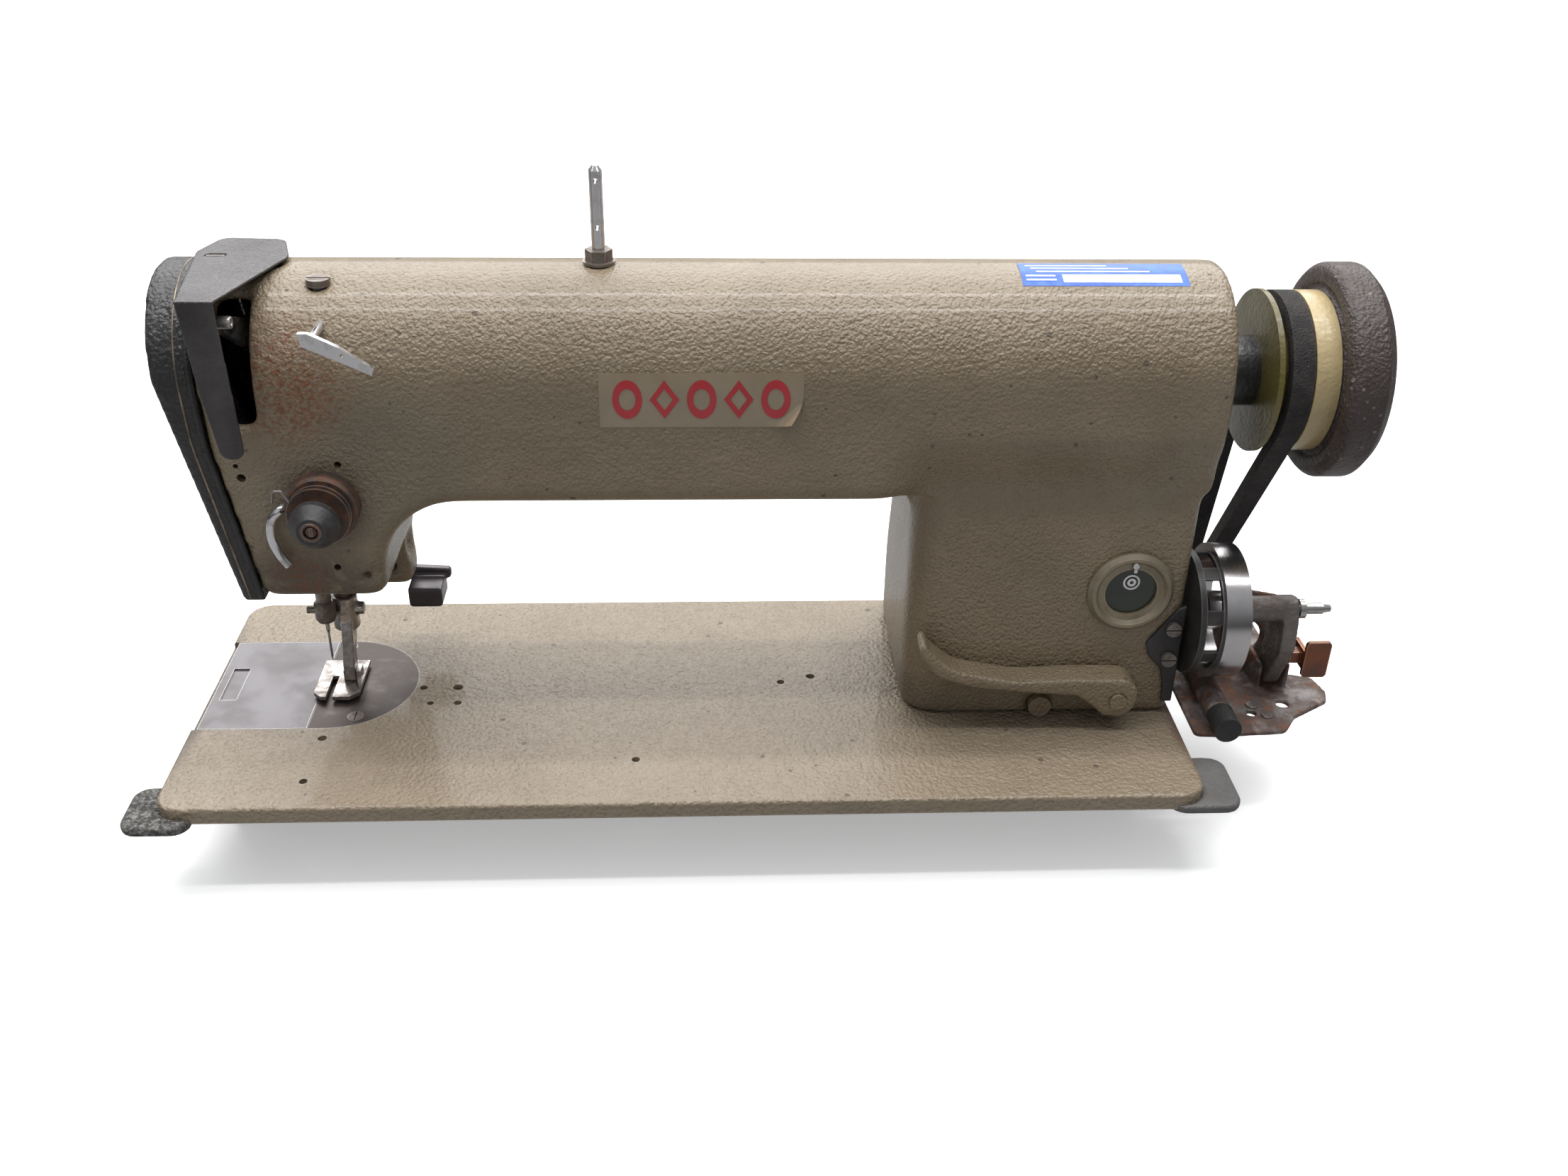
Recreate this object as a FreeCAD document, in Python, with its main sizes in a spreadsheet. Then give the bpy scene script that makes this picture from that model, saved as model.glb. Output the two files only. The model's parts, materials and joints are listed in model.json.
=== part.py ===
import FreeCAD, Part
import math
import os
from types import SimpleNamespace

import Sketcher
from FreeCAD import Placement, Rotation, Vector

# Industrial flatbed lockstitch sewing-machine head, standing on its rubber cushions.
# Millimetres, +X along the bed towards the handwheel, +Y away from the operator, +Z up.
# The shapes are drawn from the bed's front left corner at the bed's top surface, and each piece's
# Placement then moves it to the model's own frame: the middle of the footprint, on the floor.

DIMENSIONS = {
    # bed
    "bed_length": 476.0, "bed_width": 178.0, "bed_lip": 8.0, "bed_corner": 12.0,
    "rim_inset": 8.0, "rim_depth": 14.0, "rib_wall": 6.0, "rib_depth": 42.0,
    "rib_front": 54.0, "rib_rear": 146.0, "web_left": 92.0, "web_right": 424.0,
    "hinge_bore": 4.0, "hinge_length": 22.0, "hinge_first": 110.0, "hinge_pitch": 256.0,
    # standing
    "floor_depth": 48.0, "cushion_left": 14.0, "cushion_front": 7.0, "cushion_thick": 2.0, "foot_inset": 50.0,
    # stitching line
    "needle_x": 61.0, "shaft_y": 100.0, "shaft_z": 167.0, "hook_drop": 27.0,
    "plate_thick": 3.0, "plate_seam": 55.0, "plate_round": 39.0, "plate_centre": 62.5,
    "slide_left": 3.0,
    # arm, head and column
    "arm_half": 43.0, "arm_top": 217.0, "arm_end": 477.0, "arm_under": 120.0, "arm_wall": 7.0,
    "head_right": 102.0, "head_bottom": 73.0, "arch_round": 36.0, "head_top_x": 33.0,
    "head_bottom_x": 48.0, "cover_top_x": 14.0, "cover_bottom_x": 38.0,
    "column_left": 342.0, "column_right": 474.0, "column_front": 66.0, "column_back": 176.0,
    "column_round": 16.0, "mid_web": 300.0, "web_thick": 12.0,
    # shafts and their drive
    "shaft_r": 7.5, "bush_wall": 3.5, "hook_shaft_r": 6.0, "drive_x": 404.0, "drive_width": 14.0,
    "drive_r": 26.0, "belt_thick": 1.6, "crank_r": 15.0,
    # handwheel and belt
    "hub_r": 16.0, "hub_x": 478.0, "pulley_x": 497.0, "flange_r": 37.0, "groove_r": 28.0,
    "vbelt_x": 503.5, "vbelt_width": 9.5, "vbelt_r": 36.0, "rim_x": 525.0, "rim_width": 21.0,
    "rim_r": 49.0,
    # bars
    "needle_bar_r": 3.6, "bar_bottom": 37.0, "presser_x": 68.0, "presser_y": 110.0,
    "presser_r": 4.0, "foot_gap": 1.2,
    # thread parts
    "tension_x": 81.0, "tension_z": 123.0, "tension_base_r": 15.5, "post_x": 201.5,
    "post_r": 2.9, "post_top": 259.0,
    # column fittings
    "window_x": 446.0, "window_z": 70.0, "window_r": 20.5, "glass_r": 13.5,
    "lever_x": 443.0, "lever_z": 18.0, "lever_front": 50.0, "lever_pin_r": 3.0,
    "button_x": 409.0, "button_z": 6.0, "button_r": 5.5,
    # bobbin winder
    "winder_y": 78.0, "winder_z": 52.0, "winder_r": 32.5, "winder_x": 476.5,
    "winder_ring_x": 488.0, "winder_ring_end": 500.0, "spindle_end": 550.0, "spindle_r": 3.3,
    "winder_base_x": 480.0, "winder_tail": 558.0,
    # fits
    "running": 0.05, "screw_r": 2.0,
}

doc = FreeCAD.newDocument("sewing_machine_head")
sheet = doc.addObject("Spreadsheet::Sheet", "Sizes")
for row, (alias, number) in enumerate(DIMENSIONS.items(), start=1):
    sheet.set(f"A{row}", alias)
    sheet.set(f"B{row}", str(number))
    sheet.setAlias(f"B{row}", alias)
doc.recompute()


class Size:
    """A length that knows its number and the sheet expression that gives it."""

    def __init__(self, value, text):
        self.value = float(value)
        self.text = text

    @staticmethod
    def of(other):
        return other if isinstance(other, Size) else Size(other, f"({float(other):.6f})")

    def __add__(self, other):
        other = Size.of(other)
        return Size(self.value + other.value, f"({self.text} + {other.text})")

    def __sub__(self, other):
        other = Size.of(other)
        return Size(self.value - other.value, f"({self.text} - {other.text})")

    def __mul__(self, other):
        other = Size.of(other)
        return Size(self.value * other.value, f"({self.text} * {other.text})")

    def __truediv__(self, other):
        other = Size.of(other)
        return Size(self.value / other.value, f"({self.text} / {other.text})")

    def __neg__(self):
        return Size(0, "0") - self

    def __rsub__(self, other):
        return Size.of(other) - self

    __radd__ = __add__
    __rmul__ = __mul__


d = SimpleNamespace(**{alias: Size(sheet.get(alias), f"Sizes.{alias}") for alias in DIMENSIONS})

# What follows from the driving sizes.
arm_front = d.shaft_y - d.arm_half
arm_back = d.shaft_y + d.arm_half
hook_z = -d.hook_drop
overall_left = -d.cushion_left
origin_x = (d.winder_tail + overall_left) / 2
origin_y = (d.bed_width - d.cushion_front) / 2
origin_z = -d.floor_depth

PLANES = {"XY": ("XY_Plane", 1), "XZ": ("XZ_Plane", -1), "YZ": ("YZ_Plane", 1)}
TURNS = {"x": Rotation(Vector(0, 1, 0), 90), "y": Rotation(Vector(1, 0, 0), -90), "z": Rotation()}
pieces = {}
places = {}


def bind(obj, path, size):
    """Tie a property to the sheet."""
    obj.setExpression(path, Size.of(size).text)


def locate(obj, x, y, z, turn=None):
    """Put an object at sheet-driven coordinates."""
    place = [Size.of(value) for value in (x, y, z)]
    places[obj.Name] = place
    obj.Placement = Placement(Vector(*[size.value for size in place]), turn or Rotation())
    for axis, size in zip("xyz", place):
        bind(obj, f"Placement.Base.{axis}", size)
    return obj


def piece(name, obj, x=0, y=0, z=0):
    """Name a finished piece and move it from the bed's corner to the model's frame."""
    obj.Label = name
    own = places.get(obj.Name, [Size.of(0)] * 3)
    locate(obj, own[0] + x - origin_x, own[1] + y - origin_y, own[2] + z - origin_z,
           obj.Placement.Rotation)
    pieces[name] = obj
    return obj


class Circle:
    """A round loop of a sketch."""

    def __init__(self, a, b, radius):
        self.a, self.b, self.radius = Size.of(a), Size.of(b), Size.of(radius)


def draw_circle(sketch, loop):
    centre = Vector(loop.a.value, loop.b.value, 0)
    edge = sketch.addGeometry(Part.Circle(centre, Vector(0, 0, 1), loop.radius.value), False)
    rules = (("DistanceX", loop.a), ("DistanceY", loop.b))
    for kind, size in rules:
        number = sketch.addConstraint(Sketcher.Constraint(kind, -1, 1, edge, 3, size.value))
        bind(sketch, f"Constraints[{number}]", size)
    number = sketch.addConstraint(Sketcher.Constraint("Radius", edge, loop.radius.value))
    bind(sketch, f"Constraints[{number}]", loop.radius)


def corner_cut(before, at, after, radius):
    """Where a corner's arc starts and ends, its centre, and whether it turns left."""
    back, ahead = (before - at).normalize(), (after - at).normalize()
    half = back.getAngle(ahead) / 2
    reach = radius / math.tan(half)
    middle = at + (back + ahead).normalize() * (radius / math.sin(half))
    left = back.cross(ahead).z < 0
    return at + back * reach, at + ahead * reach, middle, left


def draw_polygon(sketch, corners):
    """Straight sides between corners (a, b), rounded where a corner is (a, b, radius)."""
    spots = [Vector(Size.of(c[0]).value, Size.of(c[1]).value, 0) for c in corners]
    count = len(corners)
    starts, ends, arcs = [], [], []
    for i, corner in enumerate(corners):
        if len(corner) == 3:
            radius = Size.of(corner[2]).value
            cut = corner_cut(spots[i - 1], spots[i], spots[(i + 1) % count], radius)
            ends.append(cut[0])
            starts.append(cut[1])
            arcs.append(cut)
        else:
            ends.append(spots[i])
            starts.append(spots[i])
            arcs.append(None)
    lines = [sketch.addGeometry(Part.LineSegment(starts[i], ends[(i + 1) % count]), False)
             for i in range(count)]
    for i, corner in enumerate(corners):
        before, after = lines[i - 1], lines[i]
        if arcs[i] is None:
            sketch.addConstraint(Sketcher.Constraint("Coincident", before, 2, after, 1))
            anchor = (after, 1)
        else:
            first, last, middle, left = arcs[i]
            ring = Part.Circle(middle, Vector(0, 0, 1), Size.of(corner[2]).value)
            low, high = (first, last) if left else (last, first)
            arc = Part.ArcOfCircle(ring, ring.parameter(low), ring.parameter(high))
            bend = sketch.addGeometry(arc, False)
            enter, leave = (1, 2) if left else (2, 1)
            sketch.addConstraint(Sketcher.Constraint("Tangent", before, 2, bend, enter))
            sketch.addConstraint(Sketcher.Constraint("Tangent", after, 1, bend, leave))
            number = sketch.addConstraint(Sketcher.Constraint("Radius", bend, ring.Radius))
            bind(sketch, f"Constraints[{number}]", corner[2])
            point = sketch.addGeometry(Part.Point(spots[i]), True)
            sketch.addConstraint(Sketcher.Constraint("PointOnObject", point, 1, before))
            sketch.addConstraint(Sketcher.Constraint("PointOnObject", point, 1, after))
            anchor = (point, 1)
        for kind, size in (("DistanceX", corner[0]), ("DistanceY", corner[1])):
            size = Size.of(size)
            rule = Sketcher.Constraint(kind, -1, 1, anchor[0], anchor[1], size.value)
            bind(sketch, f"Constraints[{sketch.addConstraint(rule)}]", size)


class Blank:
    """A PartDesign body, worked feature by feature along the axes."""

    def __init__(self, name):
        self.name = name
        self.body = doc.addObject("PartDesign::Body", name)
        self.steps = 0

    def sketch(self, plane, loops, start=0):
        role, sign = PLANES[plane]
        base = next(o for o in self.body.Origin.OriginFeatures if o.Role == role)
        self.steps += 1
        sketch = self.body.newObject("Sketcher::SketchObject", f"{self.name}_sketch{self.steps}")
        sketch.AttachmentSupport = [(base, "")]
        sketch.MapMode = "FlatFace"
        bind(sketch, "AttachmentOffset.Base.z", Size.of(start) * sign)
        for loop in loops:
            if isinstance(loop, Circle):
                draw_circle(sketch, loop)
            else:
                draw_polygon(sketch, loop)
        return sketch

    def feature(self, kind, sketch):
        made = self.body.newObject(f"PartDesign::{kind}", f"{self.name}_{kind.lower()}{self.steps}")
        made.Profile = sketch
        return made

    def pad(self, plane, loops, start, end):
        """Add material from start to end along the plane's positive axis."""
        pad = self.feature("Pad", self.sketch(plane, loops, start))
        bind(pad, "Length", Size.of(end) - start)
        pad.Reversed = plane == "XZ"
        return self

    def pocket(self, plane, loops, start, end):
        """Take material from start to end along the plane's positive axis."""
        pocket = self.feature("Pocket", self.sketch(plane, loops, start))
        bind(pocket, "Length", Size.of(end) - start)
        pocket.Reversed = plane != "XZ"
        return self

    def turn(self, axis, corners):
        """Revolve (along, radius) corners about the body's own x, y or z axis."""
        plane = {"x": "XZ", "y": "YZ", "z": "XZ"}[axis]
        if axis == "z":
            corners = [(corner[1], corner[0]) + tuple(corner[2:]) for corner in corners]
        sketch = self.sketch(plane, [corners])
        revolution = self.feature("Revolution", sketch)
        revolution.ReferenceAxis = (sketch, ["V_Axis" if axis == "z" else "H_Axis"])
        revolution.Angle = 360
        return self

    def fillet(self, radius, chosen, kind="Fillet"):
        """Round or bevel the edges that the test picks out of the body as it stands."""
        doc.recompute()
        shape = self.body.Tip.Shape
        names = [f"Edge{i}" for i, edge in enumerate(shape.Edges, start=1) if chosen(edge)]
        if not names:
            raise RuntimeError(f"{self.name}: no edge to dress")
        self.steps += 1
        dress = self.body.newObject(f"PartDesign::{kind}", f"{self.name}_{kind.lower()}{self.steps}")
        dress.Base = (self.body.Tip if self.body.Tip != dress else dress.BaseFeature, names)
        bind(dress, "Radius" if kind == "Fillet" else "Size", radius)
        return self

    def repeat(self, axis_role, count):
        """Repeat the last feature around one of the body's own axes."""
        axis = next(o for o in self.body.Origin.OriginFeatures if o.Role == axis_role)
        last = self.body.Tip
        pattern = self.body.newObject("PartDesign::PolarPattern", f"{self.name}_pattern{self.steps}")
        pattern.Originals = [last]
        pattern.Axis = (axis, [""])
        pattern.Angle = 360
        pattern.Occurrences = count
        self.body.Tip = pattern
        return self


def box(name, x0, x1, y0, y1, z0, z1):
    """A plain block between two corners."""
    block = doc.addObject("Part::Box", name)
    for side, low, high in (("Length", x0, x1), ("Width", y0, y1), ("Height", z0, z1)):
        bind(block, side, Size.of(high) - low)
    return locate(block, x0, y0, z0)


def rod(name, axis, a, b, start, end, radius):
    """A cylinder along an axis: a and b are its place on the other two axes, in order."""
    made = doc.addObject("Part::Cylinder", name)
    bind(made, "Radius", radius)
    bind(made, "Height", Size.of(end) - start)
    where = {"x": (start, a, b), "y": (a, start, b), "z": (a, b, start)}[axis]
    return locate(made, *where, TURNS[axis])


def fuse(name, *parts):
    made = doc.addObject("Part::MultiFuse", name)
    made.Shapes = list(parts)
    return made


def common(name, *parts):
    made = doc.addObject("Part::MultiCommon", name)
    made.Shapes = list(parts)
    return made


def cut(name, base, *tools):
    """Take the tools out of the base."""
    made = doc.addObject("Part::Cut", name)
    made.Base = base
    made.Tool = tools[0] if len(tools) == 1 else fuse(f"{name}_tools", *tools)
    return made


def group(name, *parts):
    """Separate solids that share one node, such as identical screws."""
    made = doc.addObject("Part::Compound", name)
    made.Links = list(parts)
    return made


def is_line(edge, axis, **near):
    """Whether an edge is straight along an axis and passes the given coordinates."""
    if edge.Curve.TypeId != "Part::GeomLine":
        return False
    way = edge.tangentAt(edge.FirstParameter)
    if abs(abs(getattr(way, axis)) - 1) > 1e-4:
        return False
    middle = edge.CenterOfMass
    return all(abs(getattr(middle, key) - Size.of(value).value) < 0.05 for key, value in near.items())


def arm_section(inset, bottom):
    """The arm's cross-section in Y and Z: straight sides under a half-round top."""
    front, back, top = arm_front + inset, arm_back - inset, d.arm_top - inset
    corner = d.arm_half - inset - 0.5
    return [(front, bottom), (back, bottom), (back, top, corner), (front, top, corner)]


SCREW_HEAD_R, SCREW_HEAD = 3.6, 2.2


def screw(name, axis, a, b, seat, way, length, head_r=SCREW_HEAD_R, head=SCREW_HEAD, slot=0.8):
    """A slotted cheese-head screw: seat is where its head rests, way is +1 or -1 to its tip."""
    tip = seat + length * way
    top = seat - head * way
    ends = [(seat, tip), (top, seat)] if way > 0 else [(tip, seat), (seat, top)]
    shank = rod(f"{name}_shank", axis, a, b, *ends[0], d.screw_r)
    cap = rod(f"{name}_cap", axis, a, b, *ends[1], head_r)
    low, high = (top - 1, top + head / 2) if way > 0 else (top - head / 2, top + 1)
    half, wide = slot / 2, head_r + 1
    spans = {
        "x": (low, high, a - half, a + half, b - wide, b + wide),
        "y": (a - wide, a + wide, low, high, b - half, b + half),
        "z": (a - half, a + half, b - wide, b + wide, low, high),
    }
    return cut(name, fuse(f"{name}_solid", shank, cap), box(f"{name}_slot", *spans[axis]))


# ---------------------------------------------------------------- bed
BED_HOLES = [(105.0, 95.0, 2.0), (122.0, 95.0, 2.5), (110.4, 81.3, 1.7), (123.7, 81.4, 2.0),
             (64.0, 53.0, 2.2), (62.6, 19.7, 2.0), (213.0, 33.0, 2.0), (283.6, 96.6, 2.0),
             (299.0, 101.5, 2.3)]
FEED_SHAFT = SimpleNamespace(y=Size.of(138.0), z=Size.of(-22.0), r=Size.of(4.0))
HOOK_MOUTH = 21.0
hinge_places = [d.hinge_first, d.hinge_first + d.hinge_pitch]
plate_screw_places = [(Size.of(76.0), Size.of(71.0)), (Size.of(61.0), Size.of(134.2))]
winder_screw_places = [Size.of(122.0), Size.of(142.0)]
bolt_places = [(x, y) for y in (d.column_front + 14, d.column_back - 18)
               for x in (d.column_left + 42, d.column_right - 20)]


def rectangle(x0, x1, y0, y1, *radius):
    return [(x0, y0) + radius, (x1, y0) + radius, (x1, y1) + radius, (x0, y1) + radius]


def plate_cutter(name, low, high, clearance):
    """The needle plate's outline: a straight side at the seam and a round right end."""
    disc = rod(f"{name}_disc", "z", d.plate_centre, d.shaft_y, low, high, d.plate_round + clearance)
    side = box(f"{name}_side", d.plate_seam, d.plate_centre, d.shaft_y - d.plate_round - clearance,
               d.shaft_y + d.plate_round + clearance, low, high)
    left = box(f"{name}_left", 0, d.plate_seam, 0, d.bed_width, low - 1, high + 1)
    return cut(name, fuse(f"{name}_whole", disc, side), left)


def make_bed():
    inset, rib = d.rim_inset, d.rib_wall
    bed = Blank("bed_blank")
    bed.pad("XY", [rectangle(0, d.bed_length, 0, d.bed_width, d.bed_corner)], -d.bed_lip, 0)
    bed.pad("XY", [rectangle(inset, d.bed_length - inset, inset, d.bed_width - inset)],
            -d.rim_depth, -d.bed_lip)
    inner = inset + rib
    bed.pocket("XY", [rectangle(inner, d.bed_length - inner, inner, d.bed_width - inner)],
               -d.rim_depth, -d.bed_lip)
    for y in (d.rib_front, d.rib_rear):
        bed.pad("XY", [rectangle(d.web_left, d.web_right + rib, y, y + rib)], -d.rib_depth, -d.bed_lip)
    for x in (d.web_left, d.web_right):
        bed.pad("XY", [rectangle(x, x + rib + 2, d.rib_front, d.rib_rear + rib)],
                -d.rib_depth, -d.bed_lip)
    for x in hinge_places:
        bed.pad("XY", [rectangle(x - 10, x + 10, d.bed_width - d.hinge_length, d.bed_width - 0.5)],
                -d.bed_lip - 3 * d.hinge_bore, -d.bed_lip)
    rim = lambda edge: abs(edge.BoundBox.ZMax) < 0.01 and abs(edge.BoundBox.ZMin) < 0.01
    bed.fillet(1.5, rim)
    reach = d.plate_round
    tools = [
        plate_cutter("bed_plate_seat", -d.plate_thick, 1, 0.0),
        box("bed_slide_seat", -1, d.plate_seam, d.shaft_y - reach, d.shaft_y + reach,
            -d.plate_thick - 0.3, 1),
        box("bed_hook_mouth", d.slide_left + 6, d.web_left, d.shaft_y - HOOK_MOUTH, d.shaft_y + HOOK_MOUTH,
            -d.rib_depth - 1, -d.plate_thick),
        box("bed_feed_mouth", d.needle_x + 6, d.web_left, d.shaft_y, FEED_SHAFT.y + 7,
            -d.rib_depth - 1, -d.plate_thick - 1.2),
        box("bed_belt_mouth", d.drive_x - 4, d.drive_x + d.drive_width + 4, d.shaft_y - 22,
            d.shaft_y + 22, -d.bed_lip - 1, 1),
    ]
    bush = d.hook_shaft_r + d.bush_wall
    for i, x in enumerate((d.web_left, d.web_right)):
        tools.append(rod(f"bed_hook_bore{i}", "x", d.shaft_y, hook_z, x - 1, x + rib + 3, bush))
        tools.append(rod(f"bed_feed_bore{i}", "x", FEED_SHAFT.y, FEED_SHAFT.z, x - 1, x + rib + 3,
                         FEED_SHAFT.r + d.running))
    for i, x in enumerate(hinge_places):
        tools.append(rod(f"bed_hinge_bore{i}", "y", x, -d.bed_lip - d.hinge_bore * 1.5,
                         d.bed_width - d.hinge_length, d.bed_width + 1, d.hinge_bore))
    for i, (x, y, radius) in enumerate(BED_HOLES):
        tools.append(rod(f"bed_hole{i}", "z", x, y, -d.bed_lip - 1, 1, radius))
    for i, (x, y) in enumerate(bolt_places):
        tools.append(rod(f"bed_bolt_hole{i}", "z", x, y, -d.bed_lip - 1, 1, d.screw_r))
    for i, x in enumerate((plate_screw_places[0], plate_screw_places[1])):
        tools.append(rod(f"bed_plate_screw_hole{i}", "z", x[0], x[1], -d.bed_lip - 1, 1, d.screw_r))
    for i, y in enumerate(winder_screw_places):
        tools.append(rod(f"bed_winder_hole{i}", "x", y, -d.bed_lip / 2, d.bed_length - 9,
                         d.bed_length + 1, d.screw_r))
    piece("bed_casting", cut("bed_casting", bed.body, *tools))


def make_plates():
    low = -d.plate_thick
    blank = plate_cutter("needle_plate_blank", low, 0, 0.0)
    feet = [(56.7, 58.5), (63.5, 66.0)]
    tools = [rod("needle_hole", "z", d.needle_x, d.shaft_y, low - 1, 1, 0.9)]
    for i, (x0, x1) in enumerate(feet):
        tools.append(box(f"feed_slot{i}", x0, x1, d.shaft_y - 14.5, d.shaft_y + 14.5, low - 1, 1))
    for i, (x, y) in enumerate(plate_screw_places):
        tools.append(rod(f"plate_screw_hole{i}", "z", x, y, low - 1, 1, d.screw_r))
        tools.append(rod(f"plate_screw_seat{i}", "z", x, y, -SCREW_HEAD, 1, SCREW_HEAD_R))
    piece("needle_plate", cut("needle_plate", blank, *tools))

    reach = d.plate_round - 0.3
    slide = Blank("slide_plate")
    slide.pad("XY", [rectangle(d.slide_left, d.plate_seam - 0.3, d.shaft_y - reach,
                               d.shaft_y + reach)], low, 0)
    slide.pocket("XY", [rectangle(d.slide_left + 4, d.slide_left + 12, d.shaft_y - 14,
                                  d.shaft_y + 14)], -0.8, 0)
    piece("slide_plate", slide.body)


# ---------------------------------------------------------------- arm
HEAD_HOLES = [(45.4, 140.6, 1.2), (46.9, 134.9, 2.0), (88.7, 141.2, 1.6), (82.1, 90.5, 1.6),
              (82.4, 81.0, 1.5), (94.8, 85.3, 2.5)]
needle_bush_r = d.needle_bar_r + 1.8
presser_bush_r = d.presser_r + 2.0
main_bush_r = d.shaft_r + d.bush_wall
LIFTER = SimpleNamespace(x=Size.of(90.0), z=Size.of(56.0), r=Size.of(3.0))
REAR_COVER = SimpleNamespace(x0=Size.of(360.0), x1=Size.of(440.0), z0=Size.of(132.0), z1=Size.of(170.0))
TAKE_UP = SimpleNamespace(y=Size.of(97.0), z=Size.of(186.0))
STUD_END = 55.4
cover_screw_x = [REAR_COVER.x0 + 6, REAR_COVER.x1 - 6]
cover_screw_z = [REAR_COVER.z0 + 6, REAR_COVER.z1 - 6]
guard_screw_z = [Size.of(33.0), Size.of(50.0)]
guard_screw_x = d.column_right - 5


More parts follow.
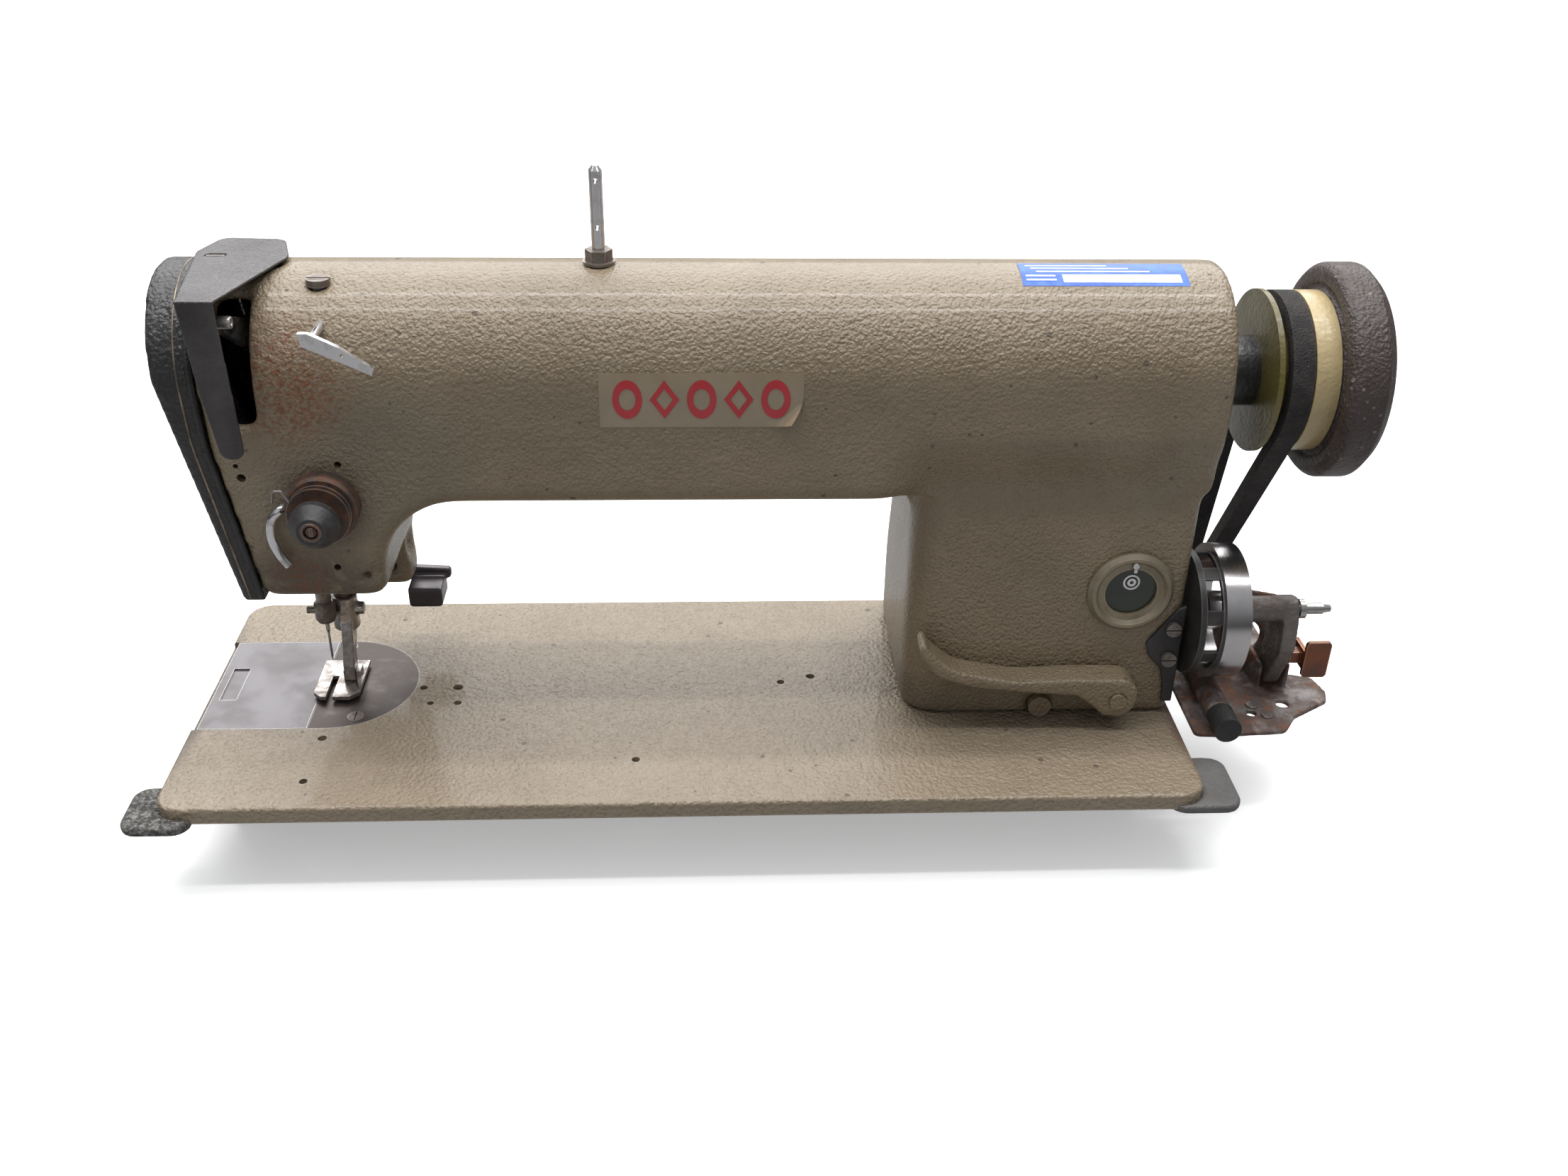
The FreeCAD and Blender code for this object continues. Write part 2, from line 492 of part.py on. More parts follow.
def make_arm():
    arm = Blank("arm_blank")
    arm.pad("YZ", [arm_section(0, d.head_bottom)], d.head_top_x, d.arm_end)
    arm.pocket("XZ", [[(d.head_right, d.head_bottom - 10), (d.head_right, d.arm_under, d.arch_round),
                       (d.arm_end + 10, d.arm_under), (d.arm_end + 10, d.head_bottom - 10)]],
               arm_front - 5, arm_back + 5)
    arm.pocket("XZ", [[(d.head_top_x - 5, d.arm_top + 5), (d.head_top_x, d.arm_top + 5), (d.head_top_x, d.arm_top),
                       (d.head_top_x + 2, d.arm_top - 66), (d.head_bottom_x, d.head_bottom),
                       (d.head_bottom_x, d.head_bottom - 5),
                       (d.head_top_x - 5, d.head_bottom - 5)]], arm_front - 5, arm_back + 5)
    arm.fillet(6, lambda e: is_line(e, "y", x=d.head_right, z=d.head_bottom))
    arm.fillet(8, lambda e: is_line(e, "x", y=arm_front, z=d.arm_under)
               or is_line(e, "x", y=arm_back, z=d.arm_under))
    column = Blank("column_blank")
    sharp = d.column_round / 4
    column.pad("XY", [[(d.column_left, d.column_front, d.column_round), (d.column_right, d.column_front, sharp),
                       (d.column_right, d.column_back, sharp), (d.column_left, d.column_back, d.column_round)]],
               0, d.arm_under + 20)
    column.pocket("YZ", [[(arm_back, d.arm_under + 21), (arm_back, d.arm_under),
                          (d.column_back, 12), (d.column_back + 5, 12),
                          (d.column_back + 5, d.arm_under + 21)]], d.column_left - 1, d.column_right + 1)
    corner = Blank("arch_corner")
    foot, hold = d.arm_under - 40, d.column_round
    corner.pad("XZ", [[(d.column_left - 24, d.arm_under), (d.column_left, d.arm_under, 18),
                       (d.column_left, foot), (d.column_left + 30, foot),
                       (d.column_left + 30, d.arm_under + 8), (d.column_left - 24, d.arm_under + 8)]],
               d.column_front + hold, arm_back - 14)
    boss = Blank("lifter_boss")
    boss.pad("XY", [rectangle(64, d.head_right - 1, 118, arm_back - 2, 6)], 45, d.head_bottom + 24)
    outside = fuse("arm_outside", arm.body, column.body, corner.body, boss.body)

    wall = d.arm_wall
    head_room = Blank("head_room").pad("YZ", [arm_section(wall, d.head_bottom + 9)], 20, d.web_left)
    arm_rooms = []
    spans = [(d.web_left + d.web_thick, d.mid_web), (d.mid_web + d.web_thick, d.arm_end - 20)]
    for i, (x0, x1) in enumerate(spans):
        arm_rooms.append(Blank(f"arm_room{i}").pad("YZ", [arm_section(wall, d.arm_under + wall)],
                                                   x0, x1).body)
    column_room = Blank("column_room")
    column_room.pad("YZ", [[(d.column_front + wall, -1), (d.column_back - wall - 4, -1),
                            (arm_back - wall - 4, d.arm_under - 4), (arm_back - wall, d.arm_under + 12),
                            (d.column_front + wall, d.arm_under + 12)]],
                    d.column_left + wall, d.column_right - wall)
    shell = cut("arm_shell", outside, head_room.body, *arm_rooms, column_room.body)

    block = box("bar_bridge", 53.5, 67.3, 91, 109, 178, d.arm_top - 3)
    cap = box("spring_seat", 61.5, 73.5, 104.6, arm_back - 3, 139, 143)
    bosses = [rod(f"bolt_boss{i}", "z", x, y, 0, 26, 8) for i, (x, y) in enumerate(bolt_places)]
    pin_boss = rod("lever_boss", "y", d.lever_x, d.lever_z, d.column_front + 1, d.column_front + 22, 8)
    button_boss = rod("button_boss", "y", d.button_x, d.button_z + 2, d.column_front + 1,
                      d.column_front + 16, 8)
    floor_cut = box("boss_trim", d.column_left, d.column_right, d.column_front, d.column_back, -20, 0)
    solid = fuse("arm_solid", shell, block, cap, *bosses, pin_boss, button_boss)

    tools = [floor_cut]
    ends = [(d.web_left - 1, d.web_left + d.web_thick + 1), (d.mid_web - 1, d.mid_web + d.web_thick + 1),
            (d.arm_end - 21, d.arm_end + 1)]
    for i, (x0, x1) in enumerate(ends):
        tools.append(rod(f"main_bore{i}", "x", d.shaft_y, d.shaft_z, x0, x1, main_bush_r))
    tools += [
        rod("needle_bore_low", "z", d.needle_x, d.shaft_y, d.head_bottom - 1, d.head_bottom + 10,
            needle_bush_r),
        rod("needle_bore_high", "z", d.needle_x, d.shaft_y, 177, 192, needle_bush_r),
        rod("needle_bore_top", "z", d.needle_x, d.shaft_y, 191, d.arm_top + 1, d.needle_bar_r + 1),
        rod("presser_bore", "z", d.presser_x, d.presser_y, d.head_bottom - 1, d.head_bottom + 10,
            presser_bush_r),
        rod("stud_bore", "x", TAKE_UP.y, TAKE_UP.z, 53, STUD_END, 3.0),
        box("take_up_slot", 44, 57, arm_front - 8, arm_front + 24, 159, d.arm_top + 3),
        rod("lifter_bore", "y", LIFTER.x, LIFTER.z, 117, arm_back + 1, LIFTER.r + d.running),
        rod("boss_pocket", "x", 128, 66, d.head_right - 5, d.head_right, 7),
        rod("tension_bore", "y", d.tension_x, d.tension_z, arm_front - 1, arm_front + 8, 5),
        rod("window_bore", "y", d.window_x, d.window_z, d.column_front - 1, d.column_front + 8,
            d.glass_r + 2.5),
        rod("lever_bore", "y", d.lever_x, d.lever_z, d.column_front - 1, d.column_front + 23,
            d.lever_pin_r),
        rod("button_bore", "y", d.button_x, d.button_z, d.column_front - 1, d.column_front + 17,
            d.button_r + d.running),
        rod("post_bore", "z", d.post_x, d.shaft_y, d.arm_top - 12, d.arm_top + 1, d.post_r),
        rod("guide_bore", "y", 87.2, 200.7, 60, 78, 2.0),
        rod("hook_guide_bore", "y", 62, 121, arm_front - 1, arm_front + 2, 1.6),
        rod("plug_bore", "z", 84.6, 83.3, 200, d.arm_top + 1, 3.2),
        rod("plug_seat", "z", 84.6, 83.3, 212.6, d.arm_top + 1, 5.0),
        box("rear_opening", REAR_COVER.x0 + 12, REAR_COVER.x1 - 12, arm_back - 10, arm_back + 1,
            REAR_COVER.z0 + 12, REAR_COVER.z1 - 8),
    ]
    for i, (x, z, radius) in enumerate(HEAD_HOLES):
        tools.append(rod(f"head_hole{i}", "y", x, z, arm_front - 1, arm_front + 8, radius))
    for i, (x, y) in enumerate(bolt_places):
        tools.append(rod(f"arm_bolt_hole{i}", "z", x, y, -1, 20, d.screw_r))
    for i, z in enumerate(guard_screw_z):
        tools.append(rod(f"guard_screw_hole{i}", "y", guard_screw_x, z, d.column_front - 1,
                         d.column_front + 8, d.screw_r))
    for i, x in enumerate(cover_screw_x):
        for j, z in enumerate(cover_screw_z):
            tools.append(rod(f"rear_screw_hole{i}{j}", "y", x, z, arm_back - 8, arm_back + 1,
                             d.screw_r))
    piece("arm_casting", cut("arm_casting", solid, *tools))


def make_face_cover():
    """The dished cover that closes the head's open left end."""
    def side(inset, shift):
        return [(d.cover_top_x + inset, d.arm_top - inset), (d.cover_top_x + 2.5 + inset, 178),
                (d.cover_bottom_x + inset, d.head_bottom + inset),
                (d.head_bottom_x - shift, d.head_bottom + inset), (d.head_top_x + 2 - shift, d.arm_top - 66),
                (d.head_top_x - shift, d.arm_top - inset)]
    outline = Blank("cover_outline").pad("XZ", [side(0, 0.2)], arm_front - 5, arm_back + 5)
    section = Blank("cover_section").pad("YZ", [arm_section(0, d.head_bottom - 5)], 0, d.head_bottom_x + 5)
    hollow = Blank("cover_hollow").pad("XZ", [side(4, -6)], arm_front + 5, arm_back - 5)
    hollow_section = Blank("cover_hollow_section")
    hollow_section.pad("YZ", [arm_section(5, d.head_bottom - 5)], 0, d.head_bottom_x + 5)
    inside = common("cover_inside", hollow.body, hollow_section.body)
    shell = cut("cover_shell", common("cover_outside", outline.body, section.body), inside)
    holes = [rod(f"cover_hole{i}", "x", d.shaft_y, z, 0, 60, d.screw_r) for i, z in enumerate(cover_z)]
    posts = [rod(f"cover_post{i}", "x", d.shaft_y, z, x, x + 14, 5)
             for i, (x, z) in enumerate(zip(cover_x, cover_z))]
    piece("face_cover", cut("face_cover", fuse("cover_solid", shell, *posts), *holes))


cover_x = [d.cover_top_x + 4.5, d.cover_bottom_x - 7]
cover_z = [Size.of(186.0), d.head_bottom + 27]


def make_screws():
    """Twelve identical screws: needle plate, face cover, rear cover, belt guard, winder base."""
    made = [screw(f"face_screw{i}", "x", d.shaft_y, z, x - 3, 1, 9)
            for i, (x, z) in enumerate(zip(cover_x, cover_z))]
    for i, x in enumerate(cover_screw_x):
        for j, z in enumerate(cover_screw_z):
            made.append(screw(f"rear_screw{i}{j}", "y", x, z, arm_back + 2.5, -1, 9))
    made += [screw(f"guard_screw{i}", "y", guard_screw_x, z, d.column_front - 2, 1, 9)
             for i, z in enumerate(guard_screw_z)]
    made += [screw(f"winder_screw{i}", "x", y, -d.bed_lip / 2, d.winder_base_x, -1, 9)
             for i, y in enumerate(winder_screw_places)]
    made += [screw(f"plate_screw{i}", "z", x, y, Size.of(-SCREW_HEAD), -1, 9)
             for i, (x, y) in enumerate(plate_screw_places)]
    piece("machine_screws", group("machine_screws", *made))


def make_rear_cover():
    cover = Blank("rear_cover")
    low, high = arm_back + 0.02, arm_back + 2.5
    holes = [Circle(x, z, d.screw_r) for x in cover_screw_x for z in cover_screw_z]
    cover.pad("XZ", [rectangle(REAR_COVER.x0, REAR_COVER.x1, REAR_COVER.z0, REAR_COVER.z1, 5), *holes],
              low, high)
    piece("rear_cover", cover.body)


def make_bed_bolts():
    made = [screw(f"bed_bolt{i}", "z", x, y, -d.bed_lip, 1, 26, 4.5, 5, 1.2)
            for i, (x, y) in enumerate(bolt_places)]
    piece("bed_bolts", group("bed_bolts", *made))


def make_guard():
    """The bent plate over the take-up lever: a top leaf on the arm and a long front tongue."""
    thick = 1.5
    top, front = d.arm_top + 2.2, arm_front - 14
    leaf = Blank("guard_leaf")
    leaf.pad("XY", [[(37.5, front), (52.5, front), (69, 102, 9), (62, 126, 6), (34, 128, 6), (28, 108, 6)]],
             top - thick, top)
    leaf.pocket("XY", [rectangle(33, 42, 101, 105, 1.9)], top - thick - 0.5, top + 0.5)
    tongue = Blank("guard_tongue")
    tongue.pad("XZ", [[(37.5, top), (40.5, 182), (45, 150, 4.9), (55, 150, 4.9), (54.5, 166), (52.5, top)]],
               front, front + thick)
    seat = rod("guard_foot", "z", 50, 100, d.arm_top - 0.3, top - thick + 0.2, 5)
    piece("take_up_guard", fuse("take_up_guard", leaf.body, tongue.body, seat))


def make_thread_post():
    post = Blank("thread_post")
    top, base = d.post_top, d.arm_top
    post.turn("z", [(base - 11.5, 0), (base - 11.5, d.post_r), (top - 2, d.post_r), (top, d.post_r - 1.5),
                    (top, 0)])
    for x_hole, z in ((0, top - 6), (0, top - 26)):
        post.pocket("XZ", [Circle(x_hole, z, 1.1)], -5, 5)
    piece("thread_post", post.body, d.post_x, d.shaft_y)
    nut = Blank("thread_post_nut")
    wide = 6.0
    six = [(wide * math.cos(math.radians(60 * k)), wide * math.sin(math.radians(60 * k)))
           for k in range(6)]
    nut.pad("XY", [six, Circle(0, 0, d.post_r)], base + 1.2, base + 6.2)
    nut.pad("XY", [Circle(0, 0, 7), Circle(0, 0, d.post_r)], base + 0.05, base + 1.2)
    piece("thread_post_nut", nut.body, d.post_x, d.shaft_y)


def bent_rod(name, points, radius, bend):
    """A round rod along straight runs joined by tangent arcs of one bend radius."""
    spots = [Vector(*[Size.of(value).value for value in point]) for point in points]
    edges, last = [], spots[0]
    for before, at, after in zip(spots, spots[1:], spots[2:]):
        back, ahead = (before - at).normalize(), (after - at).normalize()
        half = back.getAngle(ahead) / 2
        reach = bend / math.tan(half)
        middle = at + (back + ahead).normalize() * (bend / math.sin(half) - bend)
        first, final = at + back * reach, at + ahead * reach
        edges += [Part.LineSegment(last, first).toShape(), Part.Arc(first, middle, final).toShape()]
        last = final
    edges.append(Part.LineSegment(last, spots[-1]).toShape())
    way = (spots[1] - spots[0]).normalize()
    ring = Part.Wire([Part.makeCircle(Size.of(radius).value, spots[0], way)])
    made = doc.addObject("Part::Feature", name)
    made.Shape = Part.Wire(edges).makePipeShell([ring], True, False)
    return made


def make_thread_guides():
    out = arm_front - 7
    hook = bent_rod("hook_thread_guide", [(62, arm_front + 2, 121), (62, out, 121), (56.5, out, 114),
                                          (60.5, out, 95)], 1.6, 2.2)
    piece("hook_thread_guide", hook)
    arm = Blank("guide_bar")
    arm.pad("XZ", [[(82, 203.5), (86, 203.5), (98, 197.5), (111, 188), (110, 185.5), (96, 192), (83, 198)]],
            arm_front - 8, arm_front - 5.5)
    peg = rod("guide_peg", "y", 87.2, 200.7, arm_front - 7, 78, 2.0)
    hole = rod("guide_eye", "y", 99, 194, arm_front - 10, arm_front - 4, 0.9)
    piece("arm_thread_guide", cut("arm_thread_guide", fuse("guide_solid", arm.body, peg), hole))


def make_tension():
    """Base ring, discs, beehive spring, and a knob that turns on the stud."""
    face, r = arm_front, d.tension_base_r
    base = Blank("tension_base")
    base.turn("y", [(face + 7.5, 0), (face + 7.5, 5), (face, 5), (face, r), (face - 7, r),
                    (face - 8, r - 1), (face - 8, 4), (face - 26, 4), (face - 26, 0)])
    piece("tension_base", base.body, d.tension_x, 0, d.tension_z)
    discs = []
    for i, start in enumerate((face - 11.6, face - 13.4)):
        disc = Blank(f"tension_disc{i}")
        lean = 0.8 if i else -0.8
        disc.turn("y", [(start, 4), (start + 1, 4), (start + 1, 9), (start + 1 - lean, 13.5),
                        (start - lean, 13.5), (start, 9)])
        discs.append(disc.body)
    piece("tension_discs", group("tension_discs", *discs), d.tension_x, 0, d.tension_z)
    turns, wire, length, coil_r = 3, 0.6, 4.0, 6.5
    spring = doc.addObject("Part::Feature", "tension_spring")
    ring = Part.Wire([Part.makeCircle(wire, Vector(coil_r, 0, 0), Vector(0, 1, 0))])
    spring.Shape = Part.makeHelix(length / turns, length, coil_r).makePipeShell([ring], True, True)
    spring.Placement = Placement(Vector(), Rotation(Vector(1, 0, 0), 90))
    piece("tension_spring", spring, d.tension_x, face - 14.3, d.tension_z)
    knob = Blank("tension_knob")
    low_r = 4 + d.running
    knob.turn("y", [(face - 19, low_r), (face - 19, 10.5), (face - 22.5, 10.5), (face - 28, 6.2),
                    (face - 28, 4.5), (face - 26.6, 4.5), (face - 26.6, low_r)])
    piece("tension_knob", knob.body, d.tension_x, 0, d.tension_z)
    wire_end = bent_rod("check_spring", [(d.tension_x - 11, face - 8.9, d.tension_z + 2),
                                         (d.tension_x - 15.5, face - 8.9, d.tension_z + 10),
                                         (d.tension_x - 19, face - 8.9, d.tension_z + 10),
                                         (d.tension_x - 20, face - 8.9, d.tension_z + 5)], 0.55, 1.2)
    loop = rod("check_loop_out", "y", d.tension_x, d.tension_z, face - 9.5, face - 8.3, 12)
    inner = rod("check_loop_in", "y", d.tension_x, d.tension_z, face - 10, face - 8, 10.8)
    piece("check_spring", fuse("check_spring_solid", cut("check_ring", loop, inner), wire_end))


def make_oil_plug():
    plug = fuse("oil_plug_solid", rod("plug_stem", "z", 84.6, 83.3, 205, 212.7, 3.2),
                rod("plug_head", "z", 84.6, 83.3, 212.6, 215.6, 5.0))
    slot = box("plug_slot", 78, 91, 82.6, 84.0, 214.2, 217)
    piece("oil_plug", cut("oil_plug", plug, slot))


def make_window():
    front, r, glass = d.column_front, d.window_r, d.glass_r
    bezel = Blank("window_bezel")
    bezel.turn("y", [(front + 7, glass), (front + 7, glass + 2.5), (front, glass + 2.5), (front, r),
                     (front - 1.6, r), (front - 3.6, r - 2), (front - 3.6, r - 3.5),
                     (front - 1.8, glass + 1.8), (front - 1.8, glass - 1.2), (front, glass - 1.2), (front, glass)])
    piece("window_bezel", bezel.body, d.window_x, 0, d.window_z)
    glass_disc = Blank("window_glass")
    glass_disc.turn("y", [(front, 0), (front, glass), (front + 2.5, glass), (front + 2.5, 0)])
    piece("window_glass", glass_disc.body, d.window_x, 0, d.window_z)


def make_belt_guard():
    guard = Blank("belt_guard")
    edge = d.column_right + 0.4
    guard.pad("XZ", [[(469, 8), (edge, 8), (edge, 62), (470, 60.5), (457, 41.6, 2), (459, 34.7, 3), (466, 26.8),
                      (468.5, 18)],
                     *[Circle(guard_screw_x, z, d.screw_r) for z in guard_screw_z]],
              d.column_front - 2, d.column_front)
    piece("belt_guard", guard.body)


# ---------------------------------------------------------------- shafts
def bush(name, axis, a, b, start, end, outer, inner):
    return cut(name, rod(f"{name}_out", axis, a, b, start, end, outer),
               rod(f"{name}_in", axis, a, b, start - 1, end + 1, inner))


def make_bushes():
    hole = d.shaft_r + d.running
    spans = [(d.web_left, d.web_left + d.web_thick), (d.mid_web, d.mid_web + d.web_thick),
             (d.arm_end - 20, d.arm_end)]
    made = [bush(f"main_bush{i}", "x", d.shaft_y, d.shaft_z, x0, x1, main_bush_r, hole)
            for i, (x0, x1) in enumerate(spans)]
    low = [(d.web_left, d.web_left + d.rib_wall + 2), (d.web_right, d.web_right + d.rib_wall + 2)]
    made += [bush(f"hook_bush{i}", "x", d.shaft_y, hook_z, x0, x1, d.hook_shaft_r + d.bush_wall,
                  d.hook_shaft_r + d.running) for i, (x0, x1) in enumerate(low)]
    piece("shaft_bushes", group("shaft_bushes", *made))
    bottom = d.head_bottom
    made = [bush("needle_bush_low", "z", d.needle_x, d.shaft_y, bottom, bottom + 9, needle_bush_r,
                 d.needle_bar_r + d.running),
            bush("needle_bush_high", "z", d.needle_x, d.shaft_y, 178, 190, needle_bush_r,
                 d.needle_bar_r + d.running),
            bush("presser_bush", "z", d.presser_x, d.presser_y, bottom, bottom + 9, presser_bush_r,
                 d.presser_r + d.running)]
    piece("bar_bushes", group("bar_bushes", *made))


def toothed_wheel(name, radius, bore, teeth, start, end):
    """A timing pulley: shallow grooves around a plain drum with a flange at each end."""
    drum = Blank(f"{name}_drum")
    drum.turn("x", [(start, bore), (start, radius + 1), (start + 1.2, radius + 1), (start + 1.2, radius),
                    (end - 1.2, radius), (end - 1.2, radius + 1), (end, radius + 1), (end, bore)])
    groove = Blank.sketch(drum, "YZ", [rectangle(radius - 1.2, radius + 2, -0.8, 0.8)], start + 1.2)
    pocket = drum.feature("Pocket", groove)
    bind(pocket, "Length", Size.of(end) - start - 2.4)
    pocket.Reversed = True
    drum.repeat("X_Axis", teeth)
    return drum.body


def make_main_shaft():
    y, z, left, right = d.shaft_y, d.shaft_z, d.web_left - 14, d.rim_x + d.rim_width - 3
    piece("main_shaft", rod("main_shaft", "x", 0, 0, left, right, d.shaft_r), 0, y, z)
    crank_r, pin = 22.0, Size.of(3.0)
    disc = rod("crank_disc", "x", 0, 0, left - 2, left + 10, 21)
    half = rod("crank_weight", "x", 0, -4, left, left + 12, crank_r)
    trim = box("crank_trim", left - 5, left + 15, -30, 30, 12, 40)
    web = rod("crank_web", "x", 0, d.crank_r, left - 2, left + 6, 6)
    stub = rod("crank_pin", "x", 0, d.crank_r, left - 4.6, left, pin)
    bore = rod("crank_bore", "x", 0, 0, left, left + 20, d.shaft_r)
    solid = fuse("crank_solid", cut("crank_body", fuse("crank_round", disc, half), trim), web, stub)
    piece("crank", cut("crank", solid, bore), 0, y, z)
    upper = toothed_wheel("upper_drive_pulley", d.drive_r, d.shaft_r, 32, d.drive_x, d.drive_x + d.drive_width)
    piece("upper_drive_pulley", upper, 0, y, z)


def make_hook_shaft():
    y, z, left = d.shaft_y, hook_z, d.needle_x + 9
    piece("hook_shaft", rod("hook_shaft", "x", 0, 0, left, d.web_right + 14, d.hook_shaft_r), 0, y, z)
    lower = toothed_wheel("lower_drive_pulley", d.drive_r / 2, d.hook_shaft_r, 16, d.drive_x,
                          d.drive_x + d.drive_width)
    piece("lower_drive_pulley", lower, 0, y, z)
    r, face = 17.0, d.needle_x + 2.5
    cup = Blank("hook_cup")
    cup.turn("x", [(face, 0), (face, r), (face + 6, r), (face + 9, 10), (face + 20, 10), (face + 20, 0)])
    ring = Blank("hook_ring")
    ring.turn("x", [(face - 19, r - 2.2), (face - 19, r), (face + 1, r), (face + 1, r - 2.2)])
    window = Blank("hook_window")
    for side in (1, -1):
        window.pad("YZ", [[(0, 0), (20 * side, 13 * side), (20 * side, 24 * side), (-20 * side, 24 * side),
                           (-20 * side, 13 * side)]], face - 25, face - 0.01)
    bore = rod("hook_bore", "x", 0, 0, left, face + 25, d.hook_shaft_r)
    solid = fuse("hook_solid", cup.body, cut("hook_open_ring", ring.body, window.body))
    piece("rotary_hook", cut("rotary_hook", solid, bore), 0, y, z)


def make_bobbin():
    y, z, face = d.shaft_y, hook_z, d.needle_x - 2.5
    case = Blank("bobbin_case")
    case.turn("x", [(face, 0), (face, 13.5), (face - 16, 13.5), (face - 16, 12.3), (face - 2, 12.3),
                    (face - 2, 0)])
    holder = box("case_holder", face - 15.9, face - 14.4, -HOOK_MOUTH, -12.4, -3, 3)
    piece("bobbin_case", fuse("bobbin_case_solid", case.body, holder), 0, y, z)
    bobbin = Blank("bobbin")
    low, high = face - 14, face - 2.6
    bobbin.turn("x", [(low, 3), (low, 11.2), (low + 1, 11.2), (low + 1, 4.5), (high - 1, 4.5),
                      (high - 1, 11.2), (high, 11.2), (high, 3)])
    piece("bobbin", bobbin.body, 0, y, z)


def belt_path(big_y, big_z, big_r, small_y, small_z, small_r, thick, x0, x1, name):
    """An open belt around two pulleys: two tangent runs and two arcs, as a band."""
    big = Vector(0, Size.of(big_y).value, Size.of(big_z).value)
    small = Vector(0, Size.of(small_y).value, Size.of(small_z).value)
    across = small - big
    lean = math.acos((Size.of(big_r).value - Size.of(small_r).value) / across.Length)
    heading = math.atan2(across.z, across.y)
    x, width = Size.of(x0).value, Size.of(x1).value - Size.of(x0).value

    def face(offset):
        rings = []
        for middle, radius in ((big, Size.of(big_r).value + offset), (small, Size.of(small_r).value + offset)):
            spots = {}
            for key, angle in (("a", heading + lean), ("b", heading - lean)):
                spots[key] = middle + Vector(0, math.cos(angle), math.sin(angle)) * radius
            rings.append((middle, radius, spots))
        way = Vector(0, math.cos(heading), math.sin(heading))
        (c1, r1, p), (c2, r2, q) = rings
        wire = Part.Wire([Part.Arc(p["b"], c1 - way * r1, p["a"]).toShape(),
                          Part.LineSegment(p["a"], q["a"]).toShape(),
                          Part.Arc(q["a"], c2 + way * r2, q["b"]).toShape(),
                          Part.LineSegment(q["b"], p["b"]).toShape()])
        return Part.Face(wire)
    band = face(thick).cut(face(0))
    band.translate(Vector(x, 0, 0))
    made = doc.addObject("Part::Feature", name)
    made.Shape = band.extrude(Vector(width, 0, 0))
    return made


def make_belts():
    slack = 0.35
    x0, x1 = d.drive_x + 1.7, d.drive_x + d.drive_width - 1.7
    drive = belt_path(d.shaft_y, d.shaft_z, d.drive_r + slack, d.shaft_y, hook_z, d.drive_r / 2 + slack,
                      d.belt_thick.value, x0, x1, "timing_belt")
    piece("timing_belt", drive)
    belt = belt_path(d.shaft_y, d.shaft_z, d.vbelt_r - 6, 154, 40, 8, 6.5, d.vbelt_x, d.vbelt_x + d.vbelt_width,
                     "v_belt")
    piece("v_belt", belt)


def make_handwheel():
    y, z = d.shaft_y, d.shaft_z
    left, flange, groove, tread = d.pulley_x, d.flange_r, d.groove_r, d.rim_x
    belt_end = d.vbelt_x + d.vbelt_width + 0.8
    pulley = Blank("belt_pulley")
    pulley.turn("x", [(d.hub_x, d.shaft_r), (d.hub_x, d.hub_r), (left, d.hub_r), (left, flange),
                      (left + 2.5, flange), (d.vbelt_x - 0.8, groove + 1), (d.vbelt_x - 0.8, groove),
                      (belt_end, groove), (belt_end, flange - 0.5), (tread - 0.02, flange - 0.5),
                      (tread - 0.02, d.shaft_r)])
    piece("belt_pulley", pulley.body, 0, y, z)
    rim = Blank("handwheel")
    r, end = d.rim_r, tread + d.rim_width
    rim.turn("x", [(tread, d.shaft_r), (tread, 36.5), (tread + 2, 36.5), (tread + 2, 40), (tread, 40),
                   (tread, r - 3), (tread + 3, r), (end - 5, r), (end, r - 5), (end, r - 12),
                   (end - 9, r - 14), (end - 9, 16), (end - 3, 14), (end - 3, d.shaft_r)])
    piece("handwheel", rim.body, 0, y, z)


# ---------------------------------------------------------------- head works
def make_take_up():
    lever = Blank("take_up_arm")
    x0, x1 = 48.5, 51.5
    eye_y, eye_z = -44.5, 21.0
    lever.pad("YZ", [[(-4, -8), (6, -6), (6, 6), (-5, 9), (-38, 21.5), (eye_y, eye_z + 2.4), (eye_y - 1.8, eye_z - 1),
                      (-40, 14)]], x0, x1)
    hub = rod("take_up_hub", "x", 0, 0, 45, 52.5, 8)
    eye = rod("take_up_eye", "x", eye_y, eye_z, 48.6, 56, 2.8)
    bore = rod("take_up_bore", "x", 0, 0, 40, 60, 3.0 + d.running)
    hole = rod("take_up_eye_hole", "x", eye_y, eye_z, 40, 60, 1.1)
    solid = fuse("take_up_solid", lever.body, hub, eye)
    piece("take_up_lever", cut("take_up_lever", solid, bore, hole), 0, TAKE_UP.y, TAKE_UP.z)
    stud = fuse("take_up_stud_solid", rod("stud_pin", "x", 0, 0, 41, STUD_END, 3.0),
                rod("stud_head", "x", 0, 0, 41, 44.6, 5.5))
    piece("take_up_stud", stud, 0, TAKE_UP.y, TAKE_UP.z)


